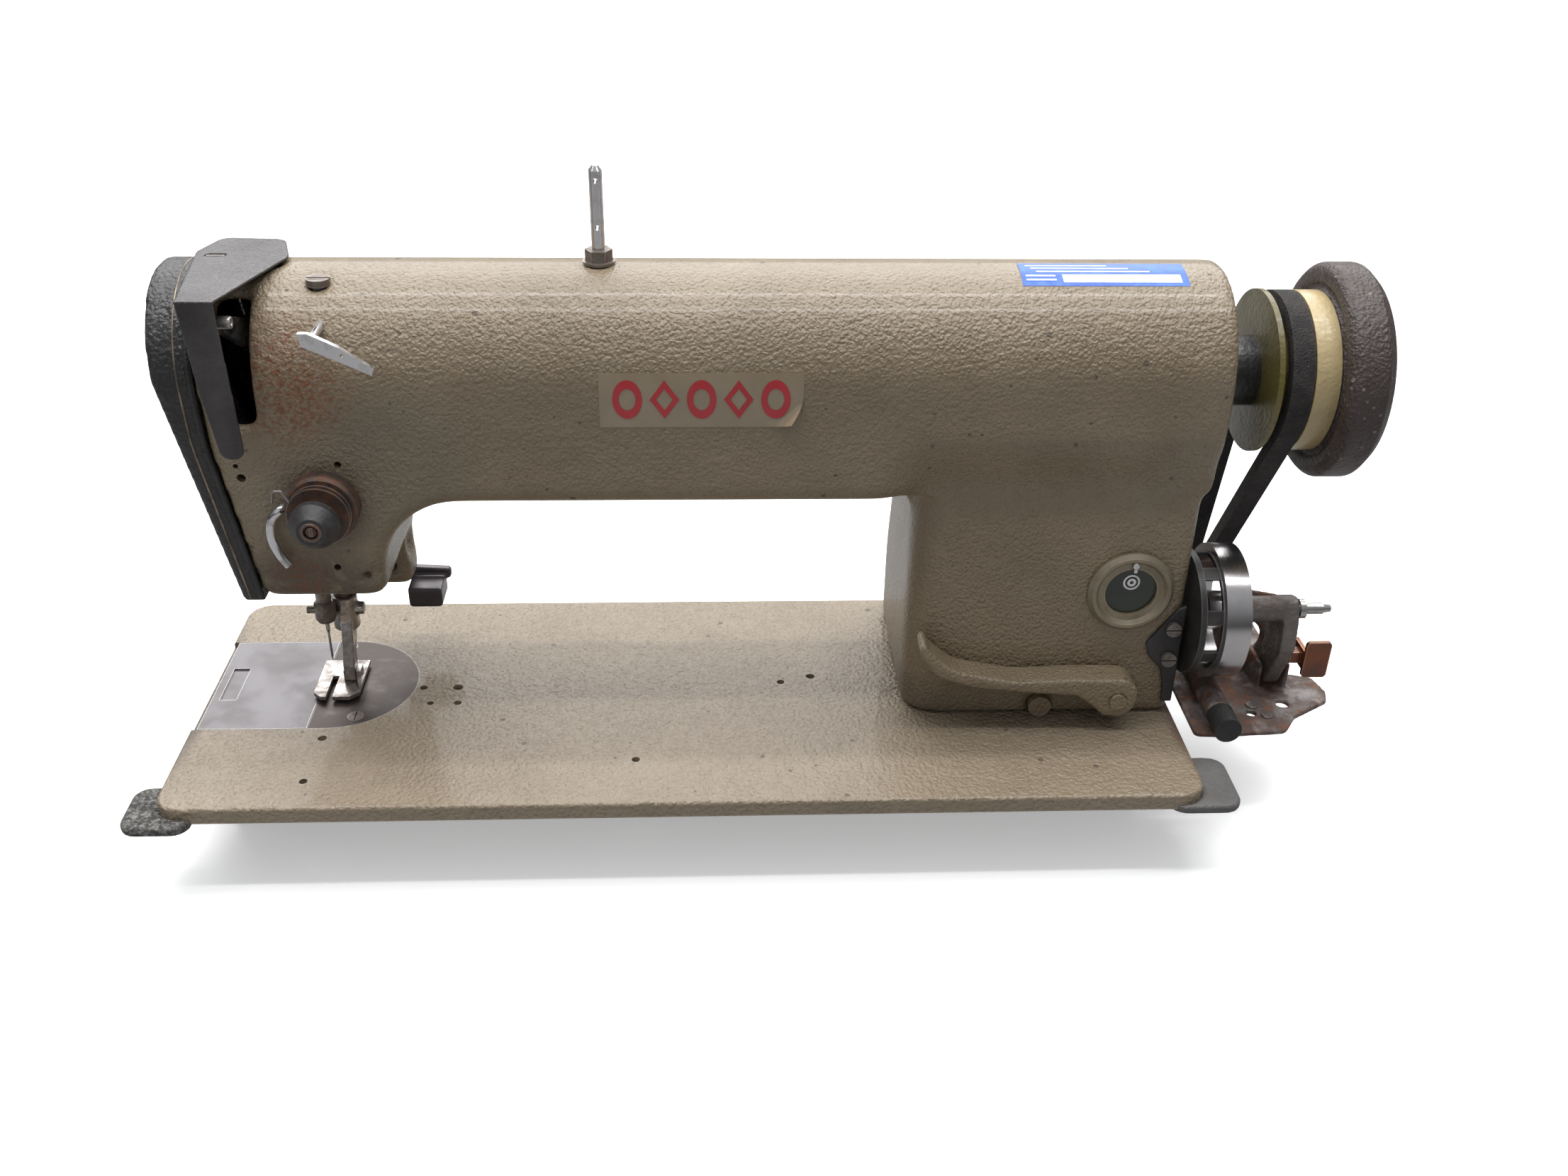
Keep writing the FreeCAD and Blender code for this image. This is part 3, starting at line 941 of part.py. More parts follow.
def make_needle_bar():
    x, y, bottom = d.needle_x, d.shaft_y, d.bar_bottom
    piece("needle_bar", rod("needle_bar", "z", 0, 0, bottom + 3, 214, d.needle_bar_r), x, y)
    holder = Blank("clamp_body")
    r = 5.0
    holder.turn("z", [(bottom, 0), (bottom, r - 1), (bottom + 2, r), (bottom + 10, r),
                      (bottom + 11, r - 0.8), (bottom + 11, d.needle_bar_r), (bottom + 3, d.needle_bar_r),
                      (bottom + 3, 0)])
    side_screw = rod("clamp_screw", "x", 0, bottom + 6, -8.5, -4.5, 1.8)
    needle_hole = rod("clamp_needle_hole", "z", 0, 0, bottom - 1, bottom + 2.9, 1.0)
    piece("needle_clamp", cut("needle_clamp", fuse("clamp_solid", holder.body, side_screw), needle_hole), x, y)
    needle = Blank("needle")
    tip = bottom - 24
    needle.turn("z", [(tip, 0), (tip + 3, 0.55), (bottom - 7, 0.6), (bottom - 5, 1.0), (bottom + 2.8, 1.0),
                      (bottom + 2.8, 0)])
    piece("needle", needle.body, x, y)
    stud_z = Size.of(132.0)
    clamp = cut("drive_clamp", rod("drive_clamp_ring", "z", 0, 0, stud_z - 4, stud_z + 4, 5.4),
                rod("drive_clamp_bore", "z", 0, 0, stud_z - 5, stud_z + 5, d.needle_bar_r))
    pin = rod("drive_pin", "x", 0, stud_z, 5.0, 12.6, 2.2)
    driver = fuse("drive_clamp_solid", clamp, pin)
    link = Blank("link_web")
    top_z = d.shaft_z + d.crank_r
    link.pad("YZ", [[(-3, stud_z), (3, stud_z), (4, top_z), (-4, top_z)]], 6.8, 11.2)
    ends = [rod("link_small", "x", 0, stud_z, 6.8, 12, 4), rod("link_big", "x", 0, top_z, 6.8, 12, 7)]
    bores = [rod("link_bore_small", "x", 0, stud_z, 5, 20, 2.2), rod("link_bore_big", "x", 0, top_z, 5, 20, 3.4)]
    rod_link = cut("link_bored", fuse("link_solid", link.body, *ends), *bores)
    piece("needle_bar_link", group("needle_bar_link", driver, rod_link), x, y)


def make_presser():
    x, y, low = d.presser_x, d.presser_y, Size.of(30.0)
    collar = cut("presser_collar_ring", rod("collar_out", "z", 0, 0, 94, 102, 5.6),
                 rod("collar_in", "z", 0, 0, 93, 103, d.presser_r))
    lug = box("collar_lug", -3, 3, 5, 17, 94, 99)
    rail = rod("presser_rod", "z", 0, 0, low, 114, d.presser_r)
    piece("presser_bar", fuse("presser_bar", rail, collar, lug), x, y)
    front = d.shaft_y - d.presser_y
    shank = Blank("shank_body")
    shank.pad("YZ", [[(-6, 46), (6, 46), (6, 30), (front + 5, 16), (front + 4, 3.9 + d.foot_gap - 1.2),
                      (front - 4, 3.9 + d.foot_gap - 1.2), (front - 4, 12), (front + 1, 26), (-6, 34)]], -1.6, 4)
    head = rod("shank_socket", "z", 0, 0, low - 2, 46, 6.4)
    bore = rod("shank_bore", "z", 0, 0, low, 50, d.presser_r)
    away = rod("shank_relief", "z", d.needle_x - d.presser_x, front, 8, 50, 5.6)
    grip = rod("shank_screw", "x", 0, 38, 5, 9.5, 3.2)
    pin = rod("foot_pin", "x", front, 6, -1.9, 6.6, 1.5)
    solid = cut("shank_cut", fuse("shank_solid", shank.body, head, grip), bore, away)
    piece("presser_foot", fuse("presser_foot", solid, pin), x, y)
    sole = Blank("sole_plate")
    gap = d.foot_gap
    sole.pad("XY", [[(-15, -13), (-11, -17), (3, -17), (7, -13), (7, 16), (-15, 16)]], gap, gap + 2)
    sole.pocket("XY", [rectangle(-8.6, -5.4, -20, 1.6, 0.5)], gap - 1, gap + 3)
    lugs = [box("sole_lug_left", -1.9, -2.2 + 0.1 + 0.4, -3.5, 3.5, gap + 1, 9.2),
            box("sole_lug_right", 4.4, 6.4, -3.5, 3.5, gap + 1, 9.2)]
    bore = rod("sole_bore", "x", 0, 6, -10, 10, 1.5 + d.running)
    piece("foot_sole", cut("foot_sole", fuse("sole_solid", sole.body, *lugs), bore), x, d.shaft_y)
    turns, height, r, wire = 7, 22.8, 4.6, 0.7
    spring = doc.addObject("Part::Feature", "presser_spring")
    helix = Part.makeHelix(height / turns, height, r)
    ring = Part.Wire([Part.makeCircle(wire, Vector(r, 0, 0), Vector(0, 1, 0))])
    spring.Shape = helix.makePipeShell([ring], True, True)
    piece("presser_spring", spring, x, y, 114.8)


def make_lifter():
    """Hand lifter behind the head: a pin through the boss and a lever with a thumb pad."""
    back = arm_back + 0.6
    lever = Blank("lifter_lever")
    lever.pad("XZ", [[(-7, 6, 4), (7, 7, 4), (6, -14, 2), (25, -15, 2), (25, -21, 2), (-5, -22, 4)]], back, back + 4)
    pad = Blank("lifter_pad")
    pad.pad("XZ", [[(5, -30, 2), (22, -30, 2), (22, -19), (5, -19)]], back - 14, back + 4)
    pin = rod("lifter_pin", "y", 0, 0, 118, back + 2, LIFTER.r)
    piece("hand_lifter", fuse("hand_lifter", lever.body, pad.body, pin), LIFTER.x, 0, LIFTER.z)


# ---------------------------------------------------------------- feed
def make_feed():
    mid, low = d.shaft_y, Size.of(-7.6)
    bar = Blank("feed_bar")
    bar.pad("XY", [rectangle(73.4, 80, mid - 16, FEED_SHAFT.y - 7)], -15, low)
    bar.pad("XY", [rectangle(73.4, 80, FEED_SHAFT.y - 13, FEED_SHAFT.y - 7)], -20, -15)
    piece("feed_bar", bar.body)
    dog = Blank("feed_dog_blank")
    dog.pad("XY", [rectangle(56.9, 80, mid - 11, mid + 11)], low, -3.6)
    rows = [(56.9, 58.2), (63.8, 65.7)]
    dog.pad("XY", [rectangle(x0, x1, mid - 11, mid + 11) for x0, x1 in rows], -3.6, 0.7)
    nicks = []
    for row, (x0, x1) in enumerate(rows):
        nicks += [box(f"dog_nick{row}_{k}", x0 - 1, x1 + 1, mid - 10.2 + 1.8 * k, mid - 9.3 + 1.8 * k, 0.1, 1)
                  for k in range(12)]
    hole = box("dog_needle_slot", d.needle_x - 1.6, d.needle_x + 1.6, mid - 3.9, mid + 3.9, low - 1, 2)
    piece("feed_dog", cut("feed_dog", dog.body, hole, *nicks))
    y, z, r = FEED_SHAFT.y, FEED_SHAFT.z, FEED_SHAFT.r
    shaft = rod("rock_shaft_bar", "x", 0, 0, 74, d.web_right + 12, r)
    arm = Blank("rock_arm")
    arm.pad("YZ", [[(-4.5, -4), (4.5, -4), (3, 12), (-3, 12)]], 74, 80)
    piece("feed_rock_shaft", fuse("feed_rock_shaft", shaft, arm.body), 0, y, z)


# ---------------------------------------------------------------- column controls
def make_reverse_lever():
    front, face = d.lever_front, d.column_front - 0.8
    x, z = d.lever_x, d.lever_z
    lever = Blank("lever_blank")
    lever.pad("XZ", [[(-97, 27, 5), (-88, 14, 12), (-70, 8, 20), (-42, 4.5, 30), (-20, 3, 5), (-11, -4, 4),
                      (-6, -9, 4), (4, -9.5, 6), (9, -4, 6), (9.5, 6, 6), (4, 11.5, 8), (-20, 12, 20),
                      (-50, 11, 30), (-80, 17, 25), (-92, 28, 8), (-96, 36, 1.5)]], front, face)
    bore = rod("lever_bore_hole", "y", 0, 0, front - 1, face + 1, d.lever_pin_r + d.running)
    piece("reverse_lever", cut("reverse_lever", lever.body, bore), x, 0, z)
    pin = fuse("lever_pin_solid", rod("lever_pin_shank", "y", x, z, front - 0.1, d.column_front + 20, d.lever_pin_r),
               rod("lever_pin_head", "y", x, z, front - 1.4, front - 0.05, 3.9))
    piece("lever_pin", pin)
    button = rod("stitch_button", "y", 0, 0, d.column_front - 3, d.column_front + 13, d.button_r)
    piece("stitch_button", button, d.button_x, 0, d.button_z)


# ---------------------------------------------------------------- bobbin winder
STOP_X, STOP_Z = 494.0, 3.2 + 6.5
WINDER_PIVOT = SimpleNamespace(y=Size.of(86.0), z=Size.of(12.0))


def make_winder():
    y, z, r = d.winder_y, d.winder_z, d.winder_r
    base_x = d.winder_base_x
    floor = Blank("winder_floor")
    floor.pad("XY", [[(base_x + 1, 44, 3), (492, 43), (526.5, 45, 6), (535, 57, 6), (555.5, 70, 3),
                      (d.winder_tail, 78, 3), (555, 91, 4), (542, 95), (542, 150), (d.bed_length, 150),
                      (d.bed_length, 114), (base_x + 1, 108)],
                     Circle(514, 60, 2.4), Circle(532, 68, 3.2)], 0.2, 3.2)
    flange = Blank("winder_flange")
    flange.pad("YZ", [rectangle(112, 150, -d.bed_lip - 2, 3.2), *[Circle(hole, -d.bed_lip / 2, d.screw_r)
                                                                  for hole in winder_screw_places]],
               d.bed_length + 0.02, base_x)
    upright = Blank("winder_upright")
    upright.pad("XZ", [[(502, 3), (545, 3), (545, 24), (534, 46), (514, 50), (502, 40)],
                       Circle(518, 22, 10)], 100, 103)
    ears = [box(f"winder_ear{i}", x, x + 2.5, WINDER_PIVOT.y - 6, WINDER_PIVOT.y + 15, 3, WINDER_PIVOT.z + 6)
            for i, x in enumerate((522.0, 535.5))]
    pivot = rod("winder_pin", "x", WINDER_PIVOT.y, WINDER_PIVOT.z, 521, 539, 2.5)
    stop = rod("winder_stop_bar", "y", STOP_X, STOP_Z, 50, 106, 6.2)
    stop_foot = box("winder_stop_foot", STOP_X - 4, STOP_X + 4, 54, 104, 3.1, STOP_Z)
    solid = fuse("winder_base_solid", floor.body, flange.body, upright.body, *ears, pivot, stop, stop_foot)
    piece("winder_base", solid)
    tip = rod("winder_stop_tip", "y", STOP_X, STOP_Z, 36, 50, 6.5)
    piece("winder_stop_tip", tip)

    py, pz = WINDER_PIVOT.y, WINDER_PIVOT.z
    tube = rod("winder_tube", "x", y, z, d.winder_ring_end + 0.6, 525, 6.5)
    side = Blank("winder_side")
    side.pad("YZ", [[(py - 6, pz - 5, 4), (py + 6, pz - 5, 4), (py + 4, pz + 14), (y + 8, z + 4, 5),
                     (y - 3, z + 8, 5), (y - 8, z - 3, 5), (y - 10, z - 18)]], 525, 533)
    bore = rod("winder_tube_bore", "x", y, z, 490, 540, d.spindle_r + d.running)
    pivot_bore = rod("winder_pivot_bore", "x", py, pz, 520, 540, 2.5 + d.running)
    piece("winder_arm", cut("winder_arm", fuse("winder_arm_solid", tube, side.body), bore, pivot_bore))
    latch = Blank("latch_tab")
    latch.pad("XZ", [rectangle(538.6, 551, 18, 38, 2)], 68.5, 70.5)
    latch.pad("YZ", [rectangle(68.5, 84, 22, 32)], 538.6, 540.6)
    bridge = box("latch_bridge", 533.02, 539.5, 72.5, 78, 24, 30)
    piece("winder_latch", fuse("winder_latch", latch.body, bridge))

    wheel = Blank("winder_wheel_disc")
    x0, x1, x2 = d.winder_x, d.winder_ring_x, d.winder_ring_end
    wheel.turn("x", [(x0, d.spindle_r), (x0, r - 2), (x0 + 3, r - 2), (x0 + 3, r - 4), (x1, r - 4), (x1, r),
                     (x2, r), (x2, r - 6), (x0 + 3, r - 6.5), (x0 + 3, 10), (x2 - 2, 9), (x2 - 2, d.spindle_r)])
    window = wheel.feature("Pocket", wheel.sketch("XY", [rectangle(x0 + 3.5, x1 - 0.5, -7.5, 7.5)], 20))
    bind(window, "Length", 20)
    window.Reversed = True
    wheel.repeat("X_Axis", 8)
    piece("winder_wheel", wheel.body, 0, y, z)
    spindle = Blank("winder_spindle")
    end, s = d.spindle_end, d.spindle_r
    spindle.turn("x", [(x0, 0), (x0, s), (534, s), (534, s + 1.6), (537, s + 1.6), (537, s - 0.5), (end - 4, s - 0.5),
                       (end - 4, s - 1), (end, s - 1.6), (end, 0)])
    piece("winder_spindle", spindle.body, 0, y, z)


# ---------------------------------------------------------------- standing
def make_cushions():
    """Front cushions: a lipped pad around each bed corner over a foot. Rear ones: a foot only."""
    thick, lip = d.cushion_thick, d.bed_lip
    made = []
    right = d.bed_length
    sides = ((overall_left, 17, (16, 44), (16, 44)),
             (right + 17, right - 17, (right - 40, right - 16), (right - 42, right - 28)))
    spans_y = ((-d.cushion_front, 24), (-2, 36))
    for side, (x_out, x_in, foot, rear_foot) in enumerate(sides):
        low_x, high_x = (x_out, x_in) if side == 0 else (x_in, x_out)
        pad = Blank(f"cushion_pad{side}")
        pad.pad("XY", [rectangle(low_x, high_x, *spans_y[side], 8)], -lip - thick, -lip + 3)
        seat = Blank(f"cushion_seat{side}")
        seat.pad("XY", [rectangle(0, d.bed_length, 0, d.bed_width, d.bed_corner)], -lip, 0)
        rim = Blank(f"cushion_rim{side}")
        inset = d.rim_inset
        rim.pad("XY", [rectangle(inset, d.bed_length - inset, inset, d.bed_width - inset)], -d.rim_depth, -lip)
        rib = inset + d.rib_wall
        rim.pocket("XY", [rectangle(rib, d.bed_length - rib, rib, d.bed_width - rib)], -d.rim_depth, -lip)
        bridge_x = (foot[0] - 12, foot[1]) if side == 0 else (foot[0], foot[1] + 12)
        bridge = box(f"cushion_bridge{side}", *bridge_x, 15, 60, -d.rim_depth - 4, -lip)
        block = box(f"cushion_foot{side}", *foot, d.foot_inset, 75, -d.floor_depth, -lip)
        made.append(cut(f"front_cushion{side}", fuse(f"cushion_solid{side}", pad.body, bridge, block),
                        seat.body, rim.body))
        made.append(box(f"rear_cushion{side}", *rear_foot, 143, 160, -d.floor_depth, -lip))
    piece("rubber_cushions", group("rubber_cushions", *made))


for make in (make_bed, make_plates, make_arm, make_face_cover, make_screws, make_rear_cover,
             make_bed_bolts, make_guard, make_thread_post, make_thread_guides, make_tension, make_oil_plug,
             make_window, make_belt_guard, make_bushes, make_main_shaft, make_hook_shaft, make_bobbin,
             make_belts, make_handwheel, make_take_up, make_needle_bar, make_presser, make_lifter,
             make_feed, make_reverse_lever, make_winder, make_cushions):
    make()
doc.recompute()

for obj in doc.Objects:
    if "Invalid" in obj.State or "Error" in obj.State:
        raise RuntimeError(f"{obj.Name} did not build: {obj.State}")
for name, obj in pieces.items():
    if obj.Shape.isNull() or not obj.Shape.isValid():
        raise RuntimeError(f"{name} has no valid shape")

os.makedirs("parts", exist_ok=True)
for name, obj in pieces.items():
    obj.Shape.exportStep(f"parts/{name}.step")
print(f"{len(pieces)} parts written")
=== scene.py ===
"""Looks of an industrial flatbed sewing-machine head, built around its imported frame.

The frame gives every piece its place. This script adds the finishes, softens the castings, and makes
the small pieces that only show: labels, seams, rings, screws, the thread hook and the presser spring.
"""

import json
import logging
import math
from collections.abc import Callable
from dataclasses import dataclass, field
from enum import Enum

import bmesh
import bpy
from mathutils import Matrix, Vector


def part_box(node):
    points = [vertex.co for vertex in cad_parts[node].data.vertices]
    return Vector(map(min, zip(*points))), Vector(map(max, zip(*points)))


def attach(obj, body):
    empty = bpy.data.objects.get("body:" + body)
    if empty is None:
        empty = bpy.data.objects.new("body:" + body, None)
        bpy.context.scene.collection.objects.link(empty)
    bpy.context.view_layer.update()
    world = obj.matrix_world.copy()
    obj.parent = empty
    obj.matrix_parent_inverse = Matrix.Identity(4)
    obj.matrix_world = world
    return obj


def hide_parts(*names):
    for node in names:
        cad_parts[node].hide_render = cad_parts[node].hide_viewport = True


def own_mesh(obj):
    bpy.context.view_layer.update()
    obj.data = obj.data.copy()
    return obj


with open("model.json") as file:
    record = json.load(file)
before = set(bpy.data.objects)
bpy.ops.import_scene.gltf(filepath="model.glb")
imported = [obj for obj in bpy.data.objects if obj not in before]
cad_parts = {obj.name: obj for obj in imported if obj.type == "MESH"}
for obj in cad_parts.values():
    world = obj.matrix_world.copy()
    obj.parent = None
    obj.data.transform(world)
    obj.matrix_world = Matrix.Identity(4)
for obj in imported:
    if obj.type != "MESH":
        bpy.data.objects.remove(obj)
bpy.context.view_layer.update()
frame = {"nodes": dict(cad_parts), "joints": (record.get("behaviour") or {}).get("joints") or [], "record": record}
log = logging.getLogger("sewing_machine_head")

MM = 0.001
FRONT = Vector((0, -1, 0))
Colour = tuple[float, float, float]
Place = Callable[[float, float], Vector]


def bed_corner() -> Vector:
    """Gives the bed's front left corner on its top face, which the small pieces are placed from."""
    low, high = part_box("bed_casting")
    return Vector((low.x, low.y, high.z))


CORNER = bed_corner()


def at(x: float, y: float, z: float) -> Vector:
    """Places a point given in millimetres from the bed's front left corner.

    Args:
        x: Distance along the bed.
        y: Distance away from the operator.
        z: Height over the bed's top face.

    Returns:
        The point in metres, in the frame's own axes.
    """
    return CORNER + Vector((x, y, z)) * MM


def front_middle(node: str) -> Vector:
    """Gives the middle of a node's front side, in metres."""
    low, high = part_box(node)
    return Vector(((low.x + high.x) / 2, low.y, (low.z + high.z) / 2))


# ------------------------------------------------------------------ mesh helpers
def new_piece(name: str, mesh: bpy.types.Mesh) -> bpy.types.Object:
    """Puts a mesh into the scene as a piece that sits at the origin."""
    piece = bpy.data.objects.new(name, mesh)
    bpy.context.scene.collection.objects.link(piece)
    return piece


def shade(mesh: bpy.types.Mesh, crease_degrees: float = 35.0) -> None:
    """Shades a mesh smooth except across edges that turn more than the crease angle."""
    bm = bmesh.new()
    bm.from_mesh(mesh)
    limit = math.radians(crease_degrees)
    for face in bm.faces:
        face.smooth = True
    for edge in bm.edges:
        edge.smooth = len(edge.link_faces) == 2 and edge.calc_face_angle(math.pi) < limit
    bm.to_mesh(mesh)
    bm.free()


def finish_bmesh(bm: bmesh.types.BMesh, name: str, crease_degrees: float = 35.0) -> bpy.types.Object:
    """Closes a bmesh off as a shaded piece.

    Args:
        bm: The working mesh, which is freed.
        name: The piece's name.
        crease_degrees: Edges that turn more than this stay sharp.

    Returns:
        The new piece.
    """
    bmesh.ops.remove_doubles(bm, verts=bm.verts, dist=0.00001)
    bmesh.ops.recalc_face_normals(bm, faces=bm.faces)
    mesh = bpy.data.meshes.new(name)
    bm.to_mesh(mesh)
    bm.free()
    shade(mesh, crease_degrees)
    return new_piece(name, mesh)


def frame_for(axis: Vector) -> Matrix:
    """Gives the turn that takes +Z to an axis."""
    return Vector((0, 0, 1)).rotation_difference(axis.normalized()).to_matrix().to_4x4()


def lathe(bm: bmesh.types.BMesh, profile: list[tuple[float, float]], origin: Vector, axis: Vector,
          steps: int = 48) -> None:
    """Spins a closed profile of (radius, height) pairs, in millimetres, round an axis."""
    turn = Matrix.Translation(origin) @ frame_for(axis)
    verts = [bm.verts.new(turn @ Vector((radius * MM, 0, height * MM))) for radius, height in profile]
    edges = [bm.edges.new((a, b)) for a, b in zip(verts, verts[1:])]
    edges.append(bm.edges.new((verts[-1], verts[0])))
    bmesh.ops.spin(bm, geom=verts + edges, cent=origin, axis=turn.to_3x3() @ Vector((0, 0, 1)),
                   angle=math.tau, steps=steps, use_merge=True)


def rod(bm: bmesh.types.BMesh, start: Vector, end: Vector, radius: float, sides: int = 24,
        bevel: float = 0.0) -> None:
    """Adds a round bar between two points, with its radius and edge round in millimetres."""
    axis = end - start
    turn = Matrix.Translation((start + end) / 2) @ frame_for(axis)
    made = bmesh.ops.create_cone(bm, cap_ends=True, segments=sides, radius1=radius * MM,
                                 radius2=radius * MM, depth=axis.length, matrix=turn)
    if bevel:
        rims = {e for v in made["verts"] for e in v.link_edges
                if any(len(f.verts) > 4 for f in e.link_faces)}
        bmesh.ops.bevel(bm, geom=list(rims), offset=bevel * MM, segments=3, affect="EDGES",
                        profile=0.5, material=-1)


def block(bm: bmesh.types.BMesh, low: Vector, high: Vector, bevel: float = 0.0) -> None:
    """Adds a box between two corners, with its edges rounded by a bevel in millimetres."""
    size = high - low
    place = Matrix.Translation((low + high) / 2) @ Matrix.Diagonal((*size, 1.0))
    made = bmesh.ops.create_cube(bm, size=1.0, matrix=place)
    if bevel:
        edges = list({e for v in made["verts"] for e in v.link_edges})
        bmesh.ops.bevel(bm, geom=edges, offset=bevel * MM, segments=3, affect="EDGES",
                        profile=0.5, material=-1)


def tube_piece(name: str, points: list[Vector], radius: float, sides: int = 3) -> bpy.types.Object:
    """Makes a closed round tube along points, with its radius in millimetres."""
    curve = bpy.data.curves.new(name, "CURVE")
    curve.dimensions = "3D"
    curve.bevel_depth = radius * MM
    curve.bevel_resolution = sides
    curve.use_fill_caps = True
    spline = curve.splines.new("POLY")
    spline.points.add(len(points) - 1)
    for point, place in zip(spline.points, points):
        point.co = (*place, 1.0)
    tube = bpy.data.objects.new(name + "_curve", curve)
    bpy.context.scene.collection.objects.link(tube)
    graph = bpy.context.evaluated_depsgraph_get()
    mesh = bpy.data.meshes.new_from_object(tube.evaluated_get(graph))
    bpy.data.objects.remove(tube)
    return new_piece(name, mesh)


def eased(corners: list[Vector], steps: int, cut: float = 0.25) -> list[Vector]:
    """Rounds a path's corners by cutting a share of each run off again and again.

    Args:
        corners: The path's points.
        steps: How often the corners are cut.
        cut: The share of a run that one cut takes at each end.

    Returns:
        The rounded path, with the same two ends.
    """
    for _ in range(steps):
        path = [corners[0]]
        for first, second in zip(corners, corners[1:]):
            path += [first.lerp(second, cut), first.lerp(second, 1 - cut)]
        corners = path + [corners[-1]]
    return corners


def with_modifiers(piece: bpy.types.Object) -> None:
    """Applies a piece's modifiers to its mesh."""
    graph = bpy.context.evaluated_depsgraph_get()
    graph.update()
    mesh = bpy.data.meshes.new_from_object(piece.evaluated_get(graph))
    piece.modifiers.clear()
    piece.data = mesh


def smooth_step(value: float, start: float, end: float) -> float:
    """Eases from 0 at the start to 1 at the end."""
    part = min(1.0, max(0.0, (value - start) / (end - start)))
    return part * part * (3.0 - 2.0 * part)


@dataclass(frozen=True)
class FrontSweep:
    """How the arm's front is led back into the column's, in millimetres from the bed's corner.

    Attributes:
        reach_z: The lowest and highest point that may move.
        ease_z: Where the move starts, coming down, and where it is whole.
        ease_x: Where the move starts, going right, and where it is whole.
        behind_y: Points further back than this stay.
        back: The whole move.
        column_y: The column's front, which no point is moved past.
    """

    reach_z: tuple[float, float] = (118.0, 156.0)
    ease_z: tuple[float, float] = (154.0, 123.0)
    ease_x: tuple[float, float] = (322.0, 350.0)
    behind_y: float = 78.0
    back: float = 9.0
    column_y: float = 66.5

    def moved(self, place: Vector) -> Vector:
        """Moves a point of the arm's front back as it comes down beside the column."""
        x, y, z = (place - CORNER) / MM
        low, high = self.reach_z
        if y > self.behind_y or z > high or z < low or x < self.ease_x[0]:
            return place
        back = self.back * smooth_step(z, *self.ease_z) * smooth_step(x, *self.ease_x)
        return place + Vector((0, max(0.0, min(back, self.column_y - y)), 0)) * MM


@dataclass
class SoftCopy:
    """A copy of a frame node with its edges softened, as paint softens a casting.

    Attributes:
        node: The frame node that is copied and replaced.
        name: The new piece's name.
        voxel: Grid size of the closed skin, in millimetres.
        passes: Rounds of smoothing, more for softer edges.
        body: The body that the piece rides on.
        slot: The record's material slot; not used.
        crease: Edges that turn more than this, in degrees, stay sharp.
        cuts: Holes that are cut after smoothing.
        blend_front: Whether the arm's front is led into the column's in one sweep.
    """

    node: str
    name: str
    voxel: float
    passes: int
    body: str
    slot: str
    crease: float = 60.0
    cuts: list[tuple[Vector, Vector, float]] = field(default_factory=list)
    blend_front: bool = False

    def build(self) -> bpy.types.Object:
        """Makes the piece, cuts its holes and puts it on its body."""
        bm = bmesh.new()
        bm.from_mesh(frame["nodes"][self.node].data)
        bmesh.ops.remove_doubles(bm, verts=bm.verts, dist=0.000002)
        mesh = bpy.data.meshes.new(self.name)
        bm.to_mesh(mesh)
        bm.free()
        piece = new_piece(self.name, mesh)
        skin = piece.modifiers.new("skin", "REMESH")
        skin.mode = "VOXEL"
        skin.voxel_size = self.voxel * MM
        with_modifiers(piece)
        self.soften(piece.data)
        if self.cuts:
            self.drill(piece)
        shade(piece.data, self.crease)
        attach(piece, self.body)
        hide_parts(self.node)
        return piece

    def soften(self, mesh: bpy.types.Mesh) -> None:
        """Smooths every point towards its neighbours."""
        bm = bmesh.new()
        bm.from_mesh(mesh)
        if self.blend_front:
            sweep = FrontSweep()
            for vert in bm.verts:
                vert.co = sweep.moved(vert.co)
        for _ in range(self.passes):
            bmesh.ops.smooth_vert(bm, verts=bm.verts, factor=0.5, use_axis_x=True, use_axis_y=True,
                                  use_axis_z=True)
        bmesh.ops.recalc_face_normals(bm, faces=bm.faces)
        bm.to_mesh(mesh)
        bm.free()

    def drill(self, piece: bpy.types.Object) -> None:
        """Cuts crisp holes, each given by its two ends and its radius."""
        bm = bmesh.new()
        for start, end, radius in self.cuts:
            rod(bm, start, end, radius, sides=28)
        mesh = bpy.data.meshes.new("drills")
        bm.to_mesh(mesh)
        bm.free()
        drills = new_piece("drills", mesh)
        hole = piece.modifiers.new("holes", "BOOLEAN")
        hole.operation = "DIFFERENCE"
        hole.solver = "MANIFOLD"
        hole.object = drills
        with_modifiers(piece)
        bpy.data.objects.remove(drills)


